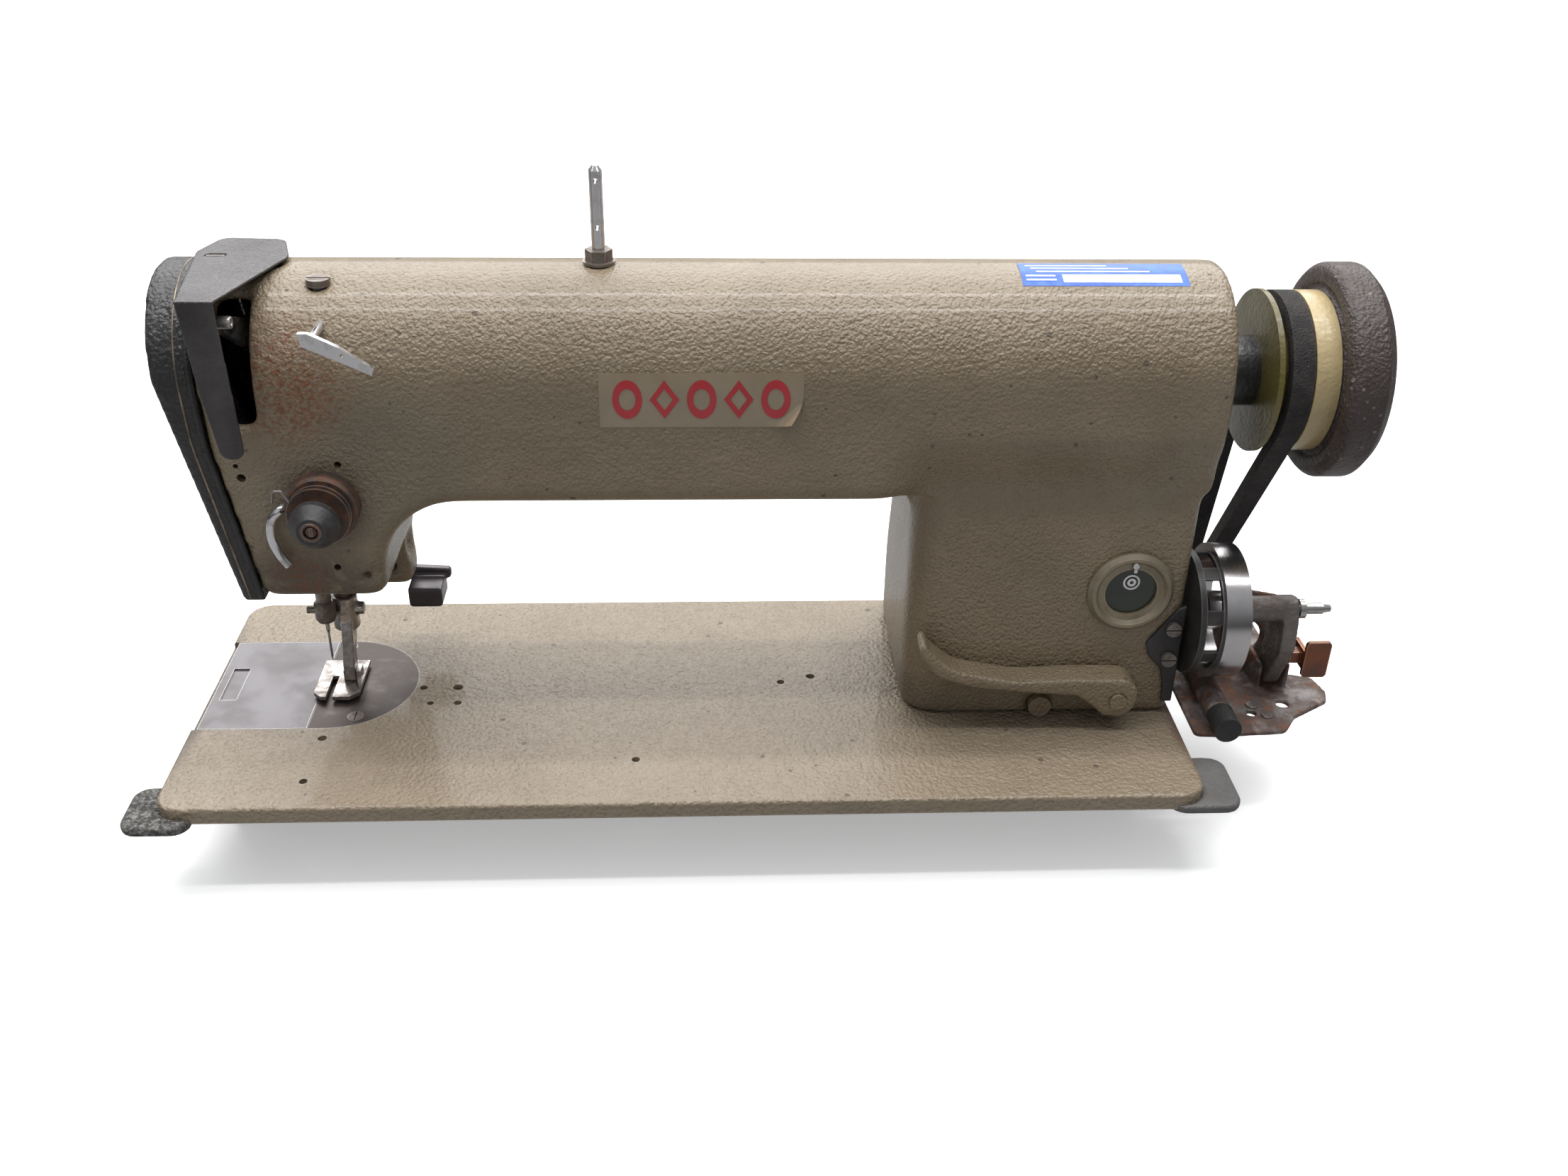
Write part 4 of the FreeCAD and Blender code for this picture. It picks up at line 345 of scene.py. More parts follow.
# ------------------------------------------------------------------ shader groups
class Sheet:
    """Adds nodes and links to one node tree."""

    def __init__(self, tree: bpy.types.NodeTree) -> None:
        """Takes the tree that the nodes go in."""
        self.tree = tree

    def add(self, kind: str, **settings: object) -> bpy.types.Node:
        """Adds a node and sets its plain properties."""
        node = self.tree.nodes.new(kind)
        for key, value in settings.items():
            setattr(node, key, value)
        return node

    def put(self, socket: bpy.types.NodeSocket, value: object) -> None:
        """Links a socket to another, or sets its own value."""
        if isinstance(value, bpy.types.NodeSocket):
            self.tree.links.new(value, socket)
        else:
            socket.default_value = value

    def math(self, operation: str, a: object, b: object = 0.0, clamp: bool = False) -> bpy.types.NodeSocket:
        """Adds a Math node and gives its output."""
        node = self.add("ShaderNodeMath", operation=operation, use_clamp=clamp)
        self.put(node.inputs[0], a)
        self.put(node.inputs[1], b)
        return node.outputs[0]

    def vector(self, operation: str, a: object, b: object = None) -> bpy.types.Node:
        """Adds a Vector Math node."""
        node = self.add("ShaderNodeVectorMath", operation=operation)
        self.put(node.inputs[0], a)
        if b is not None:
            self.put(node.inputs[1], b)
        return node

    def noise(self, vector: object, scale: object, detail: float = 3.0, rough: float = 0.55,
              distort: float = 0.0) -> bpy.types.NodeSocket:
        """Adds a Noise Texture and gives its factor."""
        node = self.add("ShaderNodeTexNoise")
        self.put(node.inputs["Vector"], vector)
        self.put(node.inputs["Scale"], scale)
        node.inputs["Detail"].default_value = detail
        node.inputs["Roughness"].default_value = rough
        node.inputs["Distortion"].default_value = distort
        return node.outputs["Fac"]

    def ramp(self, value: object, low: object, high: object, to_low: float = 0.0,
             to_high: float = 1.0) -> bpy.types.NodeSocket:
        """Adds a smooth Map Range and gives its result."""
        node = self.add("ShaderNodeMapRange", interpolation_type="SMOOTHSTEP")
        for index, number in enumerate((value, low, high, to_low, to_high)):
            self.put(node.inputs[index], number)
        return node.outputs[0]

    def mix(self, factor: object, a: object, b: object, blend: str = "MIX") -> bpy.types.NodeSocket:
        """Mixes two colours and gives the result."""
        node = self.add("ShaderNodeMix", data_type="RGBA", blend_type=blend)
        self.put(node.inputs[0], factor)
        self.put(node.inputs[6], a if isinstance(a, bpy.types.NodeSocket) else (*a, 1.0))
        self.put(node.inputs[7], b if isinstance(b, bpy.types.NodeSocket) else (*b, 1.0))
        return node.outputs[2]


class Effect(Enum):
    """The shader groups that the materials share."""

    PEBBLE = "paint_pebble"
    STAIN_AND_SHADE = "stain_and_shade_patches"
    EDGE = "edge_wear"
    GRAIN = "turned_grain"
    SPECKS = "fine_specks"


def group_sheet(effect: Effect, inputs: dict[str, tuple[str, float]], outputs: list[str]) -> tuple:
    """Starts a shader group with named sockets.

    Args:
        effect: Which group it is.
        inputs: Each input's name with its type and default.
        outputs: The names of its float outputs.

    Returns:
        The sheet, the input node and the output node.
    """
    tree = bpy.data.node_groups.new(effect.value, "ShaderNodeTree")
    for name, (kind, default) in inputs.items():
        socket = tree.interface.new_socket(name, in_out="INPUT", socket_type=kind)
        if kind == "NodeSocketFloat":
            socket.default_value = default
    for name in outputs:
        tree.interface.new_socket(name, in_out="OUTPUT", socket_type="NodeSocketFloat")
    sheet = Sheet(tree)
    return sheet, sheet.add("NodeGroupInput"), sheet.add("NodeGroupOutput")


VECTOR_IN = ("NodeSocketVector", 0.0)
FLOAT_IN = "NodeSocketFloat"


def build_pebble() -> None:
    """Makes the orange-peel relief of thick enamel."""
    sheet, given, result = group_sheet(Effect.PEBBLE, {"Vector": VECTOR_IN, "Scale": (FLOAT_IN, 380.0)},
                                       ["Height"])
    cells = sheet.add("ShaderNodeTexVoronoi", feature="SMOOTH_F1")
    sheet.put(cells.inputs["Scale"], given.outputs["Scale"])
    wobble = sheet.noise(given.outputs["Vector"], sheet.math("MULTIPLY", given.outputs["Scale"], 0.6))
    shift = sheet.vector("SCALE", wobble)
    shift.inputs["Scale"].default_value = 0.002
    moved = sheet.vector("ADD", given.outputs["Vector"], shift.outputs[0])
    sheet.put(cells.inputs["Vector"], moved.outputs[0])
    cells.inputs["Smoothness"].default_value = 0.8
    fine = sheet.noise(given.outputs["Vector"], sheet.math("MULTIPLY", given.outputs["Scale"], 1.7), 2.0)
    broad = sheet.noise(given.outputs["Vector"], sheet.math("MULTIPLY", given.outputs["Scale"], 0.35), 2.0)
    height = sheet.math("SUBTRACT", sheet.math("MULTIPLY", fine, 0.7), cells.outputs["Distance"])
    sheet.put(result.inputs["Height"], sheet.math("ADD", height, sheet.math("MULTIPLY", broad, 0.8)))


def build_stain() -> None:
    """Makes soft-edged patches for grime, rust and rubbed colour, and breaks up the painted shade zones."""
    sheet, given, result = group_sheet(
        Effect.STAIN_AND_SHADE, {"Vector": VECTOR_IN, "Scale": (FLOAT_IN, 60.0), "Amount": (FLOAT_IN, 0.4),
                       "Softness": (FLOAT_IN, 0.12)}, ["Mask"])
    value = sheet.noise(given.outputs["Vector"], given.outputs["Scale"], 7.0, 0.62, 0.3)
    middle = sheet.math("SUBTRACT", 0.72, sheet.math("MULTIPLY", given.outputs["Amount"], 0.45))
    low = sheet.math("SUBTRACT", middle, given.outputs["Softness"])
    high = sheet.math("ADD", middle, given.outputs["Softness"])
    sheet.put(result.inputs["Mask"], sheet.ramp(value, low, high))


def build_edge() -> None:
    """Finds worn edges by comparing the surface's own direction with a rounded one."""
    sheet, given, result = group_sheet(
        Effect.EDGE, {"Vector": VECTOR_IN, "Radius": (FLOAT_IN, 0.0012), "Amount": (FLOAT_IN, 0.5),
                      "Scale": (FLOAT_IN, 400.0)}, ["Mask"])
    rounded = sheet.add("ShaderNodeBevel", samples=4)
    sheet.put(rounded.inputs["Radius"], given.outputs["Radius"])
    plain = sheet.add("ShaderNodeNewGeometry")
    match = sheet.vector("DOT_PRODUCT", rounded.outputs[0], plain.outputs["Normal"]).outputs["Value"]
    bend = sheet.math("MULTIPLY", sheet.math("SUBTRACT", 1.0, match), 6.0, clamp=True)
    chips = sheet.noise(given.outputs["Vector"], given.outputs["Scale"], 5.0, 0.7)
    cover = sheet.math("ADD", chips, sheet.math("SUBTRACT", given.outputs["Amount"], 0.5))
    sheet.put(result.inputs["Mask"], sheet.ramp(sheet.math("MULTIPLY", bend, cover), 0.25, 0.5))


def build_grain() -> None:
    """Makes the fine rings that turning leaves around an axis along X, or drawn lines along it."""
    sheet, given, result = group_sheet(
        Effect.GRAIN, {"Vector": VECTOR_IN, "Scale": (FLOAT_IN, 900.0)}, ["Height"])
    parts = sheet.add("ShaderNodeSeparateXYZ")
    sheet.put(parts.inputs[0], given.outputs["Vector"])
    flat = sheet.add("ShaderNodeCombineXYZ")
    sheet.put(flat.inputs[1], parts.outputs[1])
    sheet.put(flat.inputs[2], parts.outputs[2])
    radius = sheet.vector("LENGTH", flat.outputs[0]).outputs["Value"]
    ring = sheet.add("ShaderNodeCombineXYZ")
    sheet.put(ring.inputs[0], parts.outputs[0])
    sheet.put(ring.inputs[1], radius)
    sheet.put(result.inputs["Height"], sheet.noise(ring.outputs[0], given.outputs["Scale"], 3.0, 0.7))


def build_specks() -> None:
    """Makes small separate dots: pits, dust and paint flecks."""
    sheet, given, result = group_sheet(
        Effect.SPECKS, {"Vector": VECTOR_IN, "Scale": (FLOAT_IN, 250.0), "Amount": (FLOAT_IN, 0.3)},
        ["Mask"])
    dots = sheet.add("ShaderNodeTexVoronoi")
    sheet.put(dots.inputs["Vector"], given.outputs["Vector"])
    sheet.put(dots.inputs["Scale"], given.outputs["Scale"])
    pick = sheet.add("ShaderNodeSeparateColor")
    sheet.put(pick.inputs[0], dots.outputs["Color"])
    chosen = sheet.math("LESS_THAN", pick.outputs[0], given.outputs["Amount"])
    size = sheet.math("MULTIPLY", pick.outputs[1], 0.32)
    dot = sheet.ramp(sheet.math("SUBTRACT", size, dots.outputs["Distance"]), 0.0, 0.08)
    sheet.put(result.inputs["Mask"], sheet.math("MULTIPLY", chosen, dot))


def build_effects() -> None:
    """Builds every shared shader group once."""
    for build in (build_pebble, build_stain, build_edge, build_grain, build_specks):
        build()


# ------------------------------------------------------------------ finishes
@dataclass(frozen=True)
class Layer:
    """One colour laid over the base where a mask lets it show.

    Attributes:
        colour: Linear colour.
        scale: Pattern size, larger is finer.
        amount: How much of the surface it takes.
        softness: How gently its edge fades.
        rough: Roughness that it brings.
        strength: Its opacity.
    """

    colour: Colour
    scale: float = 60.0
    amount: float = 0.3
    softness: float = 0.1
    rough: float = 0.7
    strength: float = 1.0


@dataclass(frozen=True)
class Finish:
    """A worn real-world finish made of a base, stains, specks, worn edges and relief.

    Attributes:
        name: The material's name.
        base: Linear base colour.
        rough: Base roughness.
        metal: Metallic amount of the base.
        stains: Layers of soft patches, from the first to the last.
        specks: Optional layer of small dots.
        edge: Optional layer that shows at worn edges.
        edge_radius: How far wear reaches in from an edge, in metres.
        edge_metal: Metallic amount where the edge is worn.
        pebble: Orange-peel relief as (scale, depth in metres).
        grain: Turned grain as (scale, depth in metres), around centre.
        centre: The grain's axis, as the frame node whose middle it passes through.
        coat: Clear coat weight.
    """

    name: str
    base: Colour
    rough: float = 0.4
    metal: float = 0.0
    stains: tuple[Layer, ...] = ()
    specks: Layer | None = None
    edge: Layer | None = None
    edge_radius: float = 0.0012
    edge_metal: float = 0.0
    pebble: tuple[float, float] | None = None
    grain: tuple[float, float] | None = None
    centre: str = ""
    coat: float = 0.0

    def build(self) -> bpy.types.Material:
        """Makes the material."""
        material = bpy.data.materials.new(self.name)
        material.use_nodes = True
        material.node_tree.nodes.clear()
        sheet = Sheet(material.node_tree)
        output = sheet.add("ShaderNodeOutputMaterial")
        shader = sheet.add("ShaderNodeBsdfPrincipled")
        sheet.put(output.inputs["Surface"], shader.outputs[0])
        place = sheet.add("ShaderNodeTexCoord").outputs["Object"]
        colour, rough, metal = self.layers(sheet, place)
        colour, rough, metal = self.extra(sheet, place, colour, rough, metal)
        sheet.put(shader.inputs["Base Color"], colour)
        sheet.put(shader.inputs["Roughness"], rough)
        sheet.put(shader.inputs["Metallic"], metal)
        shader.inputs["Coat Weight"].default_value = self.coat
        shader.inputs["Coat Roughness"].default_value = 0.12
        self.relief(sheet, place, shader)
        return material

    def layers(self, sheet: Sheet, place: bpy.types.NodeSocket) -> tuple:
        """Stacks the stains, specks and worn edges over the base."""
        tone = sheet.noise(place, 35.0, 5.0, 0.6)
        lighter = tuple(min(1.0, part * 1.16) for part in self.base)
        darker = tuple(part * 0.84 for part in self.base)
        colour = sheet.mix(tone, darker, lighter)
        rough = sheet.math("ADD", self.rough - 0.06, sheet.math("MULTIPLY", tone, 0.12))
        metal: object = self.metal
        stack = [(layer, Effect.STAIN_AND_SHADE) for layer in self.stains]
        if self.specks:
            stack.append((self.specks, Effect.SPECKS))
        if self.edge:
            stack.append((self.edge, Effect.EDGE))
        for layer, effect in stack:
            mask = self.mask(sheet, place, layer, effect)
            mask = sheet.math("MULTIPLY", mask, layer.strength)
            colour = sheet.mix(mask, colour, layer.colour)
            rough = self.blend(sheet, mask, rough, layer.rough)
            target = self.edge_metal if effect is Effect.EDGE else 0.0
            if self.metal != target:
                metal = self.blend(sheet, mask, metal, target)
        return colour, rough, metal

    def mask(self, sheet: Sheet, place: object, layer: Layer, effect: Effect) -> bpy.types.NodeSocket:
        """Places a shared group with this layer's own values and gives its mask."""
        node = group_node(sheet, effect, place)
        node.inputs["Scale"].default_value = layer.scale
        node.inputs["Amount"].default_value = layer.amount
        if effect is Effect.STAIN_AND_SHADE:
            node.inputs["Softness"].default_value = layer.softness
        if effect is Effect.EDGE:
            node.inputs["Radius"].default_value = self.edge_radius
        return node.outputs["Mask"]

    @staticmethod
    def blend(sheet: Sheet, mask: object, a: object, b: object) -> bpy.types.NodeSocket:
        """Mixes two plain numbers by a mask."""
        node = sheet.add("ShaderNodeMix", data_type="FLOAT")
        sheet.put(node.inputs[0], mask)
        sheet.put(node.inputs[2], a)
        sheet.put(node.inputs[3], b)
        return node.outputs[0]

    def extra(self, sheet: Sheet, place: object, colour: object, rough: object, metal: object) -> tuple:
        """Lets a special finish add its own zones. The plain one has none."""
        return colour, rough, metal

    def relief(self, sheet: Sheet, place: object, shader: bpy.types.Node) -> None:
        """Adds the orange peel and the turned grain as bumps."""
        normal = None
        if self.pebble:
            node = group_node(sheet, Effect.PEBBLE, place)
            node.inputs["Scale"].default_value = self.pebble[0]
            normal = self.bump(sheet, node.outputs["Height"], self.pebble[1], normal)
        if self.grain:
            middle = -(sum(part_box(self.centre), Vector()) / 2) if self.centre else Vector()
            shift = sheet.vector("ADD", place, tuple(middle))
            node = group_node(sheet, Effect.GRAIN, shift.outputs[0])
            node.inputs["Scale"].default_value = self.grain[0]
            normal = self.bump(sheet, node.outputs["Height"], self.grain[1], normal)
        if normal is not None:
            sheet.put(shader.inputs["Normal"], normal)

    @staticmethod
    def bump(sheet: Sheet, height: object, depth: float, normal: object) -> bpy.types.NodeSocket:
        """Adds a Bump node over an earlier one."""
        node = sheet.add("ShaderNodeBump")
        node.inputs["Strength"].default_value = 1.0
        node.inputs["Distance"].default_value = depth
        sheet.put(node.inputs["Height"], height)
        if normal is not None:
            sheet.put(node.inputs["Normal"], normal)
        return node.outputs[0]


def group_node(sheet: Sheet, effect: Effect, place: object) -> bpy.types.Node:
    """Places a shared shader group in a material."""
    node = sheet.add("ShaderNodeGroup", node_tree=bpy.data.node_groups[effect.value])
    sheet.put(node.inputs["Vector"], place)
    return node


@dataclass(frozen=True)
class Zone:
    """A soft ball-shaped zone around a point, in millimetres from the bed's corner."""

    centre: tuple[float, float, float]
    radius: float
    colour: Colour
    scale: float
    amount: float
    strength: float = 0.8
    stretch: Colour = (1.0, 1.0, 1.0)


@dataclass(frozen=True)
class ZonedFinish(Finish):
    """A finish with local dirt, rust and painted shade around chosen places."""

    zones: tuple[Zone, ...] = ()

    def extra(self, sheet: Sheet, place: object, colour: object, rough: object, metal: object) -> tuple:
        """Adds each zone's stains and painted shade."""
        for zone in self.zones:
            offset = sheet.vector("SUBTRACT", place, tuple(at(*zone.centre)))
            scaled = sheet.vector("MULTIPLY", offset.outputs[0], zone.stretch)
            distance = sheet.vector("LENGTH", scaled.outputs[0]).outputs["Value"]
            inside = sheet.ramp(distance, zone.radius * MM, zone.radius * MM * 0.25)
            node = group_node(sheet, Effect.STAIN_AND_SHADE, place)
            node.inputs["Scale"].default_value = zone.scale
            node.inputs["Amount"].default_value = zone.amount
            mask = sheet.math("MULTIPLY", sheet.math("MULTIPLY", node.outputs["Mask"], inside), zone.strength)
            colour = sheet.mix(mask, colour, zone.colour)
            rough = self.blend(sheet, mask, rough, 0.75)
        return colour, rough, metal


@dataclass(frozen=True)
class BandedFinish(Finish):
    """A finish that changes colour across a plane or a radius.

    Attributes:
        other: The second colour.
        other_rough: Its roughness.
        other_metal: Its metallic amount.
        low: Where the second colour starts, in millimetres along X or outwards.
        high: Where it ends.
        round_axis: Whether the band is measured outwards from the axis through the centre node.
        hub: The colour of the piece's left end, if it has one of its own.
        hub_end: Where that colour ends along X, or 0 for none.
    """

    other: Colour = (1.0, 1.0, 1.0)
    other_rough: float = 0.3
    other_metal: float = 1.0
    low: float = 0.0
    high: float = 1.0
    round_axis: bool = False
    hub: Colour = (0.012, 0.012, 0.012)
    hub_end: float = 0.0

    def extra(self, sheet: Sheet, place: object, colour: object, rough: object, metal: object) -> tuple:
        """Lays the second colour over the band."""
        parts = sheet.add("ShaderNodeSeparateXYZ")
        sheet.put(parts.inputs[0], place)
        if self.round_axis:
            middle = sum(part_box(self.centre), Vector()) / 2
            flat = sheet.add("ShaderNodeCombineXYZ")
            sheet.put(flat.inputs[1], sheet.math("SUBTRACT", parts.outputs[1], middle.y))
            sheet.put(flat.inputs[2], sheet.math("SUBTRACT", parts.outputs[2], middle.z))
            value = sheet.vector("LENGTH", flat.outputs[0]).outputs["Value"]
            low, high = self.low * MM, self.high * MM
        else:
            value = parts.outputs[0]
            low, high = at(self.low, 0, 0).x, at(self.high, 0, 0).x
        fade = 0.3 * MM
        inside = sheet.math("MULTIPLY", sheet.ramp(value, low - fade, low + fade),
                            sheet.ramp(value, high + fade, high - fade))
        tone = sheet.noise(place, 120.0, 5.0)
        shade_low = tuple(part * 0.75 for part in self.other)
        banded = sheet.mix(tone, shade_low, self.other)
        colour = sheet.mix(inside, colour, banded)
        if self.hub_end:
            edge = at(self.hub_end, 0, 0).x
            colour = sheet.mix(sheet.ramp(parts.outputs[0], edge + fade, edge - fade), colour, self.hub)
        rough = self.blend(sheet, inside, rough, self.other_rough)
        metal = self.blend(sheet, inside, metal, self.other_metal)
        return colour, rough, metal


RUST = (0.16, 0.052, 0.018)
GRIME = (0.055, 0.042, 0.03)
BARE_STEEL = (0.42, 0.40, 0.38)

ENAMEL_ARM = ZonedFinish(
    "arm_hammer_enamel", (0.215, 0.165, 0.105), rough=0.33, pebble=(620.0, 0.0008), coat=0.25,
    stains=(Layer((0.13, 0.096, 0.056), 16.0, 0.34, 0.22, 0.5, 0.45),
            Layer((0.26, 0.215, 0.15), 30.0, 0.25, 0.2, 0.4, 0.35)),
    specks=Layer(GRIME, 190.0, 0.12, 0.1, 0.7, 0.7),
    edge=Layer((0.36, 0.30, 0.23), 700.0, 0.45, 0.1, 0.4, 0.5), edge_radius=0.0016,
    zones=(Zone((70, 57, 178), 32, RUST, 430.0, 0.46, 0.9, (1.1, 0.6, 0.8)),
           Zone((84, 57, 170), 24, (0.20, 0.07, 0.02), 520.0, 0.42, 0.8),
           Zone((70, 57, 82), 34, GRIME, 70.0, 0.75, 0.75, (0.7, 0.6, 1.4)),
           Zone((66, 57, 86), 18, RUST, 420.0, 0.44, 0.8),
           Zone((81, 57, 121), 30, GRIME, 90.0, 0.8, 0.7),
           Zone((50, 60, 205), 26, (0.12, 0.085, 0.055), 80.0, 0.7, 0.7),
           # Painted shade: darker on the column's front at its foot, where it meets the bed.
           Zone((343, 70, 4), 40, (0.10, 0.08, 0.055), 60.0, 0.7, 0.6, (0.8, 1.0, 1.6)),
           # Painted shade: a darker olive patch on the arm's lower front, where the surface turns under.
           Zone((110, 60, 140), 46, (0.14, 0.125, 0.085), 40.0, 0.85, 0.6)))
ENAMEL_BED = ZonedFinish(
    "bed_hammer_enamel", (0.262, 0.206, 0.142), rough=0.33, pebble=(480.0, 0.0010), coat=0.25,
    stains=(Layer((0.18, 0.14, 0.09), 14.0, 0.30, 0.22, 0.5, 0.4),
            Layer((0.34, 0.28, 0.20), 26.0, 0.3, 0.2, 0.35, 0.35)),
    specks=Layer(GRIME, 160.0, 0.10, 0.1, 0.7, 0.7),
    edge=Layer((0.50, 0.45, 0.38), 600.0, 0.5, 0.1, 0.4, 0.6), edge_radius=0.0014,
    zones=(Zone((477, 90, -4), 100, (0.075, 0.022, 0.008), 60.0, 0.95, 0.95, (12.0, 1.0, 1.6)),
           # Painted shade: darker on the bed at the foot of the column's front, around the stitch button.
           Zone((409, 66, 0), 50, (0.12, 0.10, 0.075), 50.0, 0.75, 0.5, (0.5, 1.6, 1.0)),
           Zone((0, 90, -5), 90, (0.06, 0.045, 0.03), 70.0, 0.8, 0.8, (10.0, 1.0, 1.5))))
COVER_BLACK = Finish(
    "cover_black_enamel", (0.012, 0.012, 0.012), rough=0.36, pebble=(520.0, 0.0006),
    stains=(Layer((0.045, 0.043, 0.04), 22.0, 0.35, 0.2, 0.45, 0.6),),
    specks=Layer((0.22, 0.19, 0.16), 240.0, 0.10, 0.1, 0.6, 0.9),
    edge=Layer((0.26, 0.22, 0.18), 520.0, 0.58, 0.1, 0.5, 0.95), edge_radius=0.0022)
GUARD_CHARCOAL = Finish(
    "guard_charcoal", (0.032, 0.028, 0.029), rough=0.34, metal=0.35, pebble=(900.0, 0.0002),
    stains=(Layer((0.085, 0.078, 0.075), 26.0, 0.45, 0.22, 0.35, 0.7),),
    edge=Layer((0.20, 0.18, 0.17), 500.0, 0.45, 0.1, 0.4, 0.8), edge_metal=0.6)
NEEDLE_PLATE = Finish(
    "needle_plate_steel", (0.060, 0.047, 0.042), rough=0.34, metal=0.9,
    stains=(Layer((0.03, 0.02, 0.016), 34.0, 0.45, 0.2, 0.4, 0.6),
            Layer((0.13, 0.11, 0.10), 90.0, 0.25, 0.15, 0.3, 0.5)),
    edge=Layer(BARE_STEEL, 500.0, 0.6, 0.1, 0.3, 0.8), edge_metal=1.0, edge_radius=0.0008)
SLIDE_PLATE = Finish(
    "slide_plate_steel", (0.155, 0.148, 0.155), rough=0.34, metal=0.95, grain=(700.0, 0.00004),
    stains=(Layer((0.09, 0.075, 0.07), 40.0, 0.35, 0.2, 0.45, 0.5),),
    edge=Layer((0.6, 0.58, 0.56), 500.0, 0.6, 0.1, 0.25, 0.8), edge_metal=1.0, edge_radius=0.0008)
CHROME = Finish(
    "pitted_chrome", (0.58, 0.57, 0.58), rough=0.13, metal=1.0,
    stains=(Layer((0.20, 0.18, 0.17), 160.0, 0.3, 0.12, 0.4, 0.5),),
    specks=Layer((0.10, 0.07, 0.05), 700.0, 0.25, 0.1, 0.6, 0.6))
RUSTY_STEEL = Finish(
    "rusty_grey_steel", (0.17, 0.155, 0.148), rough=0.5, metal=0.75, pebble=(600.0, 0.0003),
    stains=(Layer((0.085, 0.04, 0.026), 55.0, 0.55, 0.12, 0.75, 0.85),
            Layer((0.20, 0.075, 0.03), 130.0, 0.35, 0.08, 0.8, 0.8),
            Layer((0.33, 0.31, 0.30), 90.0, 0.3, 0.1, 0.4, 0.5)),
    edge=Layer((0.34, 0.27, 0.22), 420.0, 0.55, 0.1, 0.5, 0.8), edge_metal=0.7)
TENSION_STEEL = Finish(
    "tension_rusty_steel", (0.10, 0.075, 0.062), rough=0.42, metal=0.7,
    stains=(Layer((0.13, 0.05, 0.022), 190.0, 0.5, 0.1, 0.8, 0.85),
            Layer((0.02, 0.017, 0.015), 120.0, 0.4, 0.15, 0.6, 0.7)),
    edge=Layer((0.38, 0.33, 0.30), 600.0, 0.55, 0.1, 0.35, 0.9), edge_metal=0.9, edge_radius=0.0007)
SPRING_STEEL = Finish(
    "spring_steel", (0.34, 0.32, 0.31), rough=0.28, metal=1.0,
    stains=(Layer((0.12, 0.07, 0.05), 200.0, 0.35, 0.15, 0.6, 0.6),))
BLACK_PLASTIC = Finish(
    "black_moulded_plastic", (0.018, 0.017, 0.018), rough=0.42, pebble=(1400.0, 0.0001),
    stains=(Layer((0.06, 0.055, 0.052), 60.0, 0.3, 0.2, 0.6, 0.6),),
    specks=Layer((0.10, 0.09, 0.08), 500.0, 0.12, 0.1, 0.6, 0.6),
    edge=Layer((0.09, 0.085, 0.08), 500.0, 0.5, 0.1, 0.5, 0.7), edge_radius=0.0007)
WINDOW_TRIM = Finish(
    "window_trim_bronze", (0.24, 0.205, 0.15), rough=0.35, metal=0.35, grain=(500.0, 0.00005),
    stains=(Layer((0.13, 0.10, 0.06), 60.0, 0.45, 0.2, 0.5, 0.7),),
    edge=Layer((0.42, 0.33, 0.17), 400.0, 0.7, 0.1, 0.3, 0.9), edge_metal=0.8, edge_radius=0.0009)
WINDOW_GLASS = Finish(
    "dark_sight_glass", (0.014, 0.021, 0.015), rough=0.3, coat=0.15,
    stains=(Layer((0.035, 0.038, 0.024), 60.0, 0.4, 0.2, 0.3, 0.6),
            Layer((0.012, 0.014, 0.010), 90.0, 0.35, 0.15, 0.2, 0.6)))
WINDOW_GOLD = Finish(
    "window_gold_ring", (0.52, 0.36, 0.13), rough=0.26, metal=0.9,
    stains=(Layer((0.22, 0.13, 0.05), 200.0, 0.4, 0.15, 0.5, 0.6),))
SCREW_STEEL = Finish(
    "screw_steel", (0.20, 0.18, 0.165), rough=0.38, metal=0.9,
    stains=(Layer((0.08, 0.045, 0.03), 260.0, 0.4, 0.15, 0.7, 0.7),),
    edge=Layer(BARE_STEEL, 700.0, 0.6, 0.1, 0.3, 0.8), edge_metal=1.0, edge_radius=0.0005)
SHAFT_STEEL = Finish(
    "ground_shaft_steel", (0.40, 0.39, 0.38), rough=0.24, metal=1.0, grain=(1500.0, 0.00003),
    stains=(Layer((0.14, 0.11, 0.08), 80.0, 0.3, 0.2, 0.4, 0.5),))
BRONZE = Finish(
    "turned_bronze", (0.42, 0.27, 0.12), rough=0.34, metal=1.0, grain=(1200.0, 0.00004),
    stains=(Layer((0.12, 0.07, 0.03), 100.0, 0.4, 0.2, 0.5, 0.6),))
FORGED = Finish(
    "oily_forged_steel", (0.13, 0.12, 0.115), rough=0.36, metal=0.85, pebble=(700.0, 0.0003),
    stains=(Layer((0.035, 0.028, 0.02), 50.0, 0.5, 0.2, 0.25, 0.7),),
    edge=Layer((0.34, 0.33, 0.32), 400.0, 0.6, 0.1, 0.3, 0.8), edge_metal=1.0)
BELT = Finish(
    "frayed_belt", (0.014, 0.012, 0.012), rough=0.82, pebble=(1300.0, 0.0006),
    stains=(Layer((0.045, 0.038, 0.035), 110.0, 0.45, 0.15, 0.9, 0.7),),
    specks=Layer((0.11, 0.10, 0.09), 800.0, 0.28, 0.1, 0.9, 0.8),
    edge=Layer((0.07, 0.06, 0.055), 800.0, 0.65, 0.1, 0.9, 0.9), edge_radius=0.0008)
PULLEY = BandedFinish(
    "pulley_plastic", (0.13, 0.105, 0.022), rough=0.38, centre="belt_pulley", coat=0.15,
    pebble=(500.0, 0.0002), grain=(300.0, 0.00005),
    stains=(Layer((0.05, 0.04, 0.010), 30.0, 0.45, 0.2, 0.5, 0.7),),
    specks=Layer(GRIME, 300.0, 0.15, 0.1, 0.7, 0.7),
    other=(0.46, 0.36, 0.19), other_rough=0.36, other_metal=0.0, low=512.6, high=524.9, hub_end=496.9)
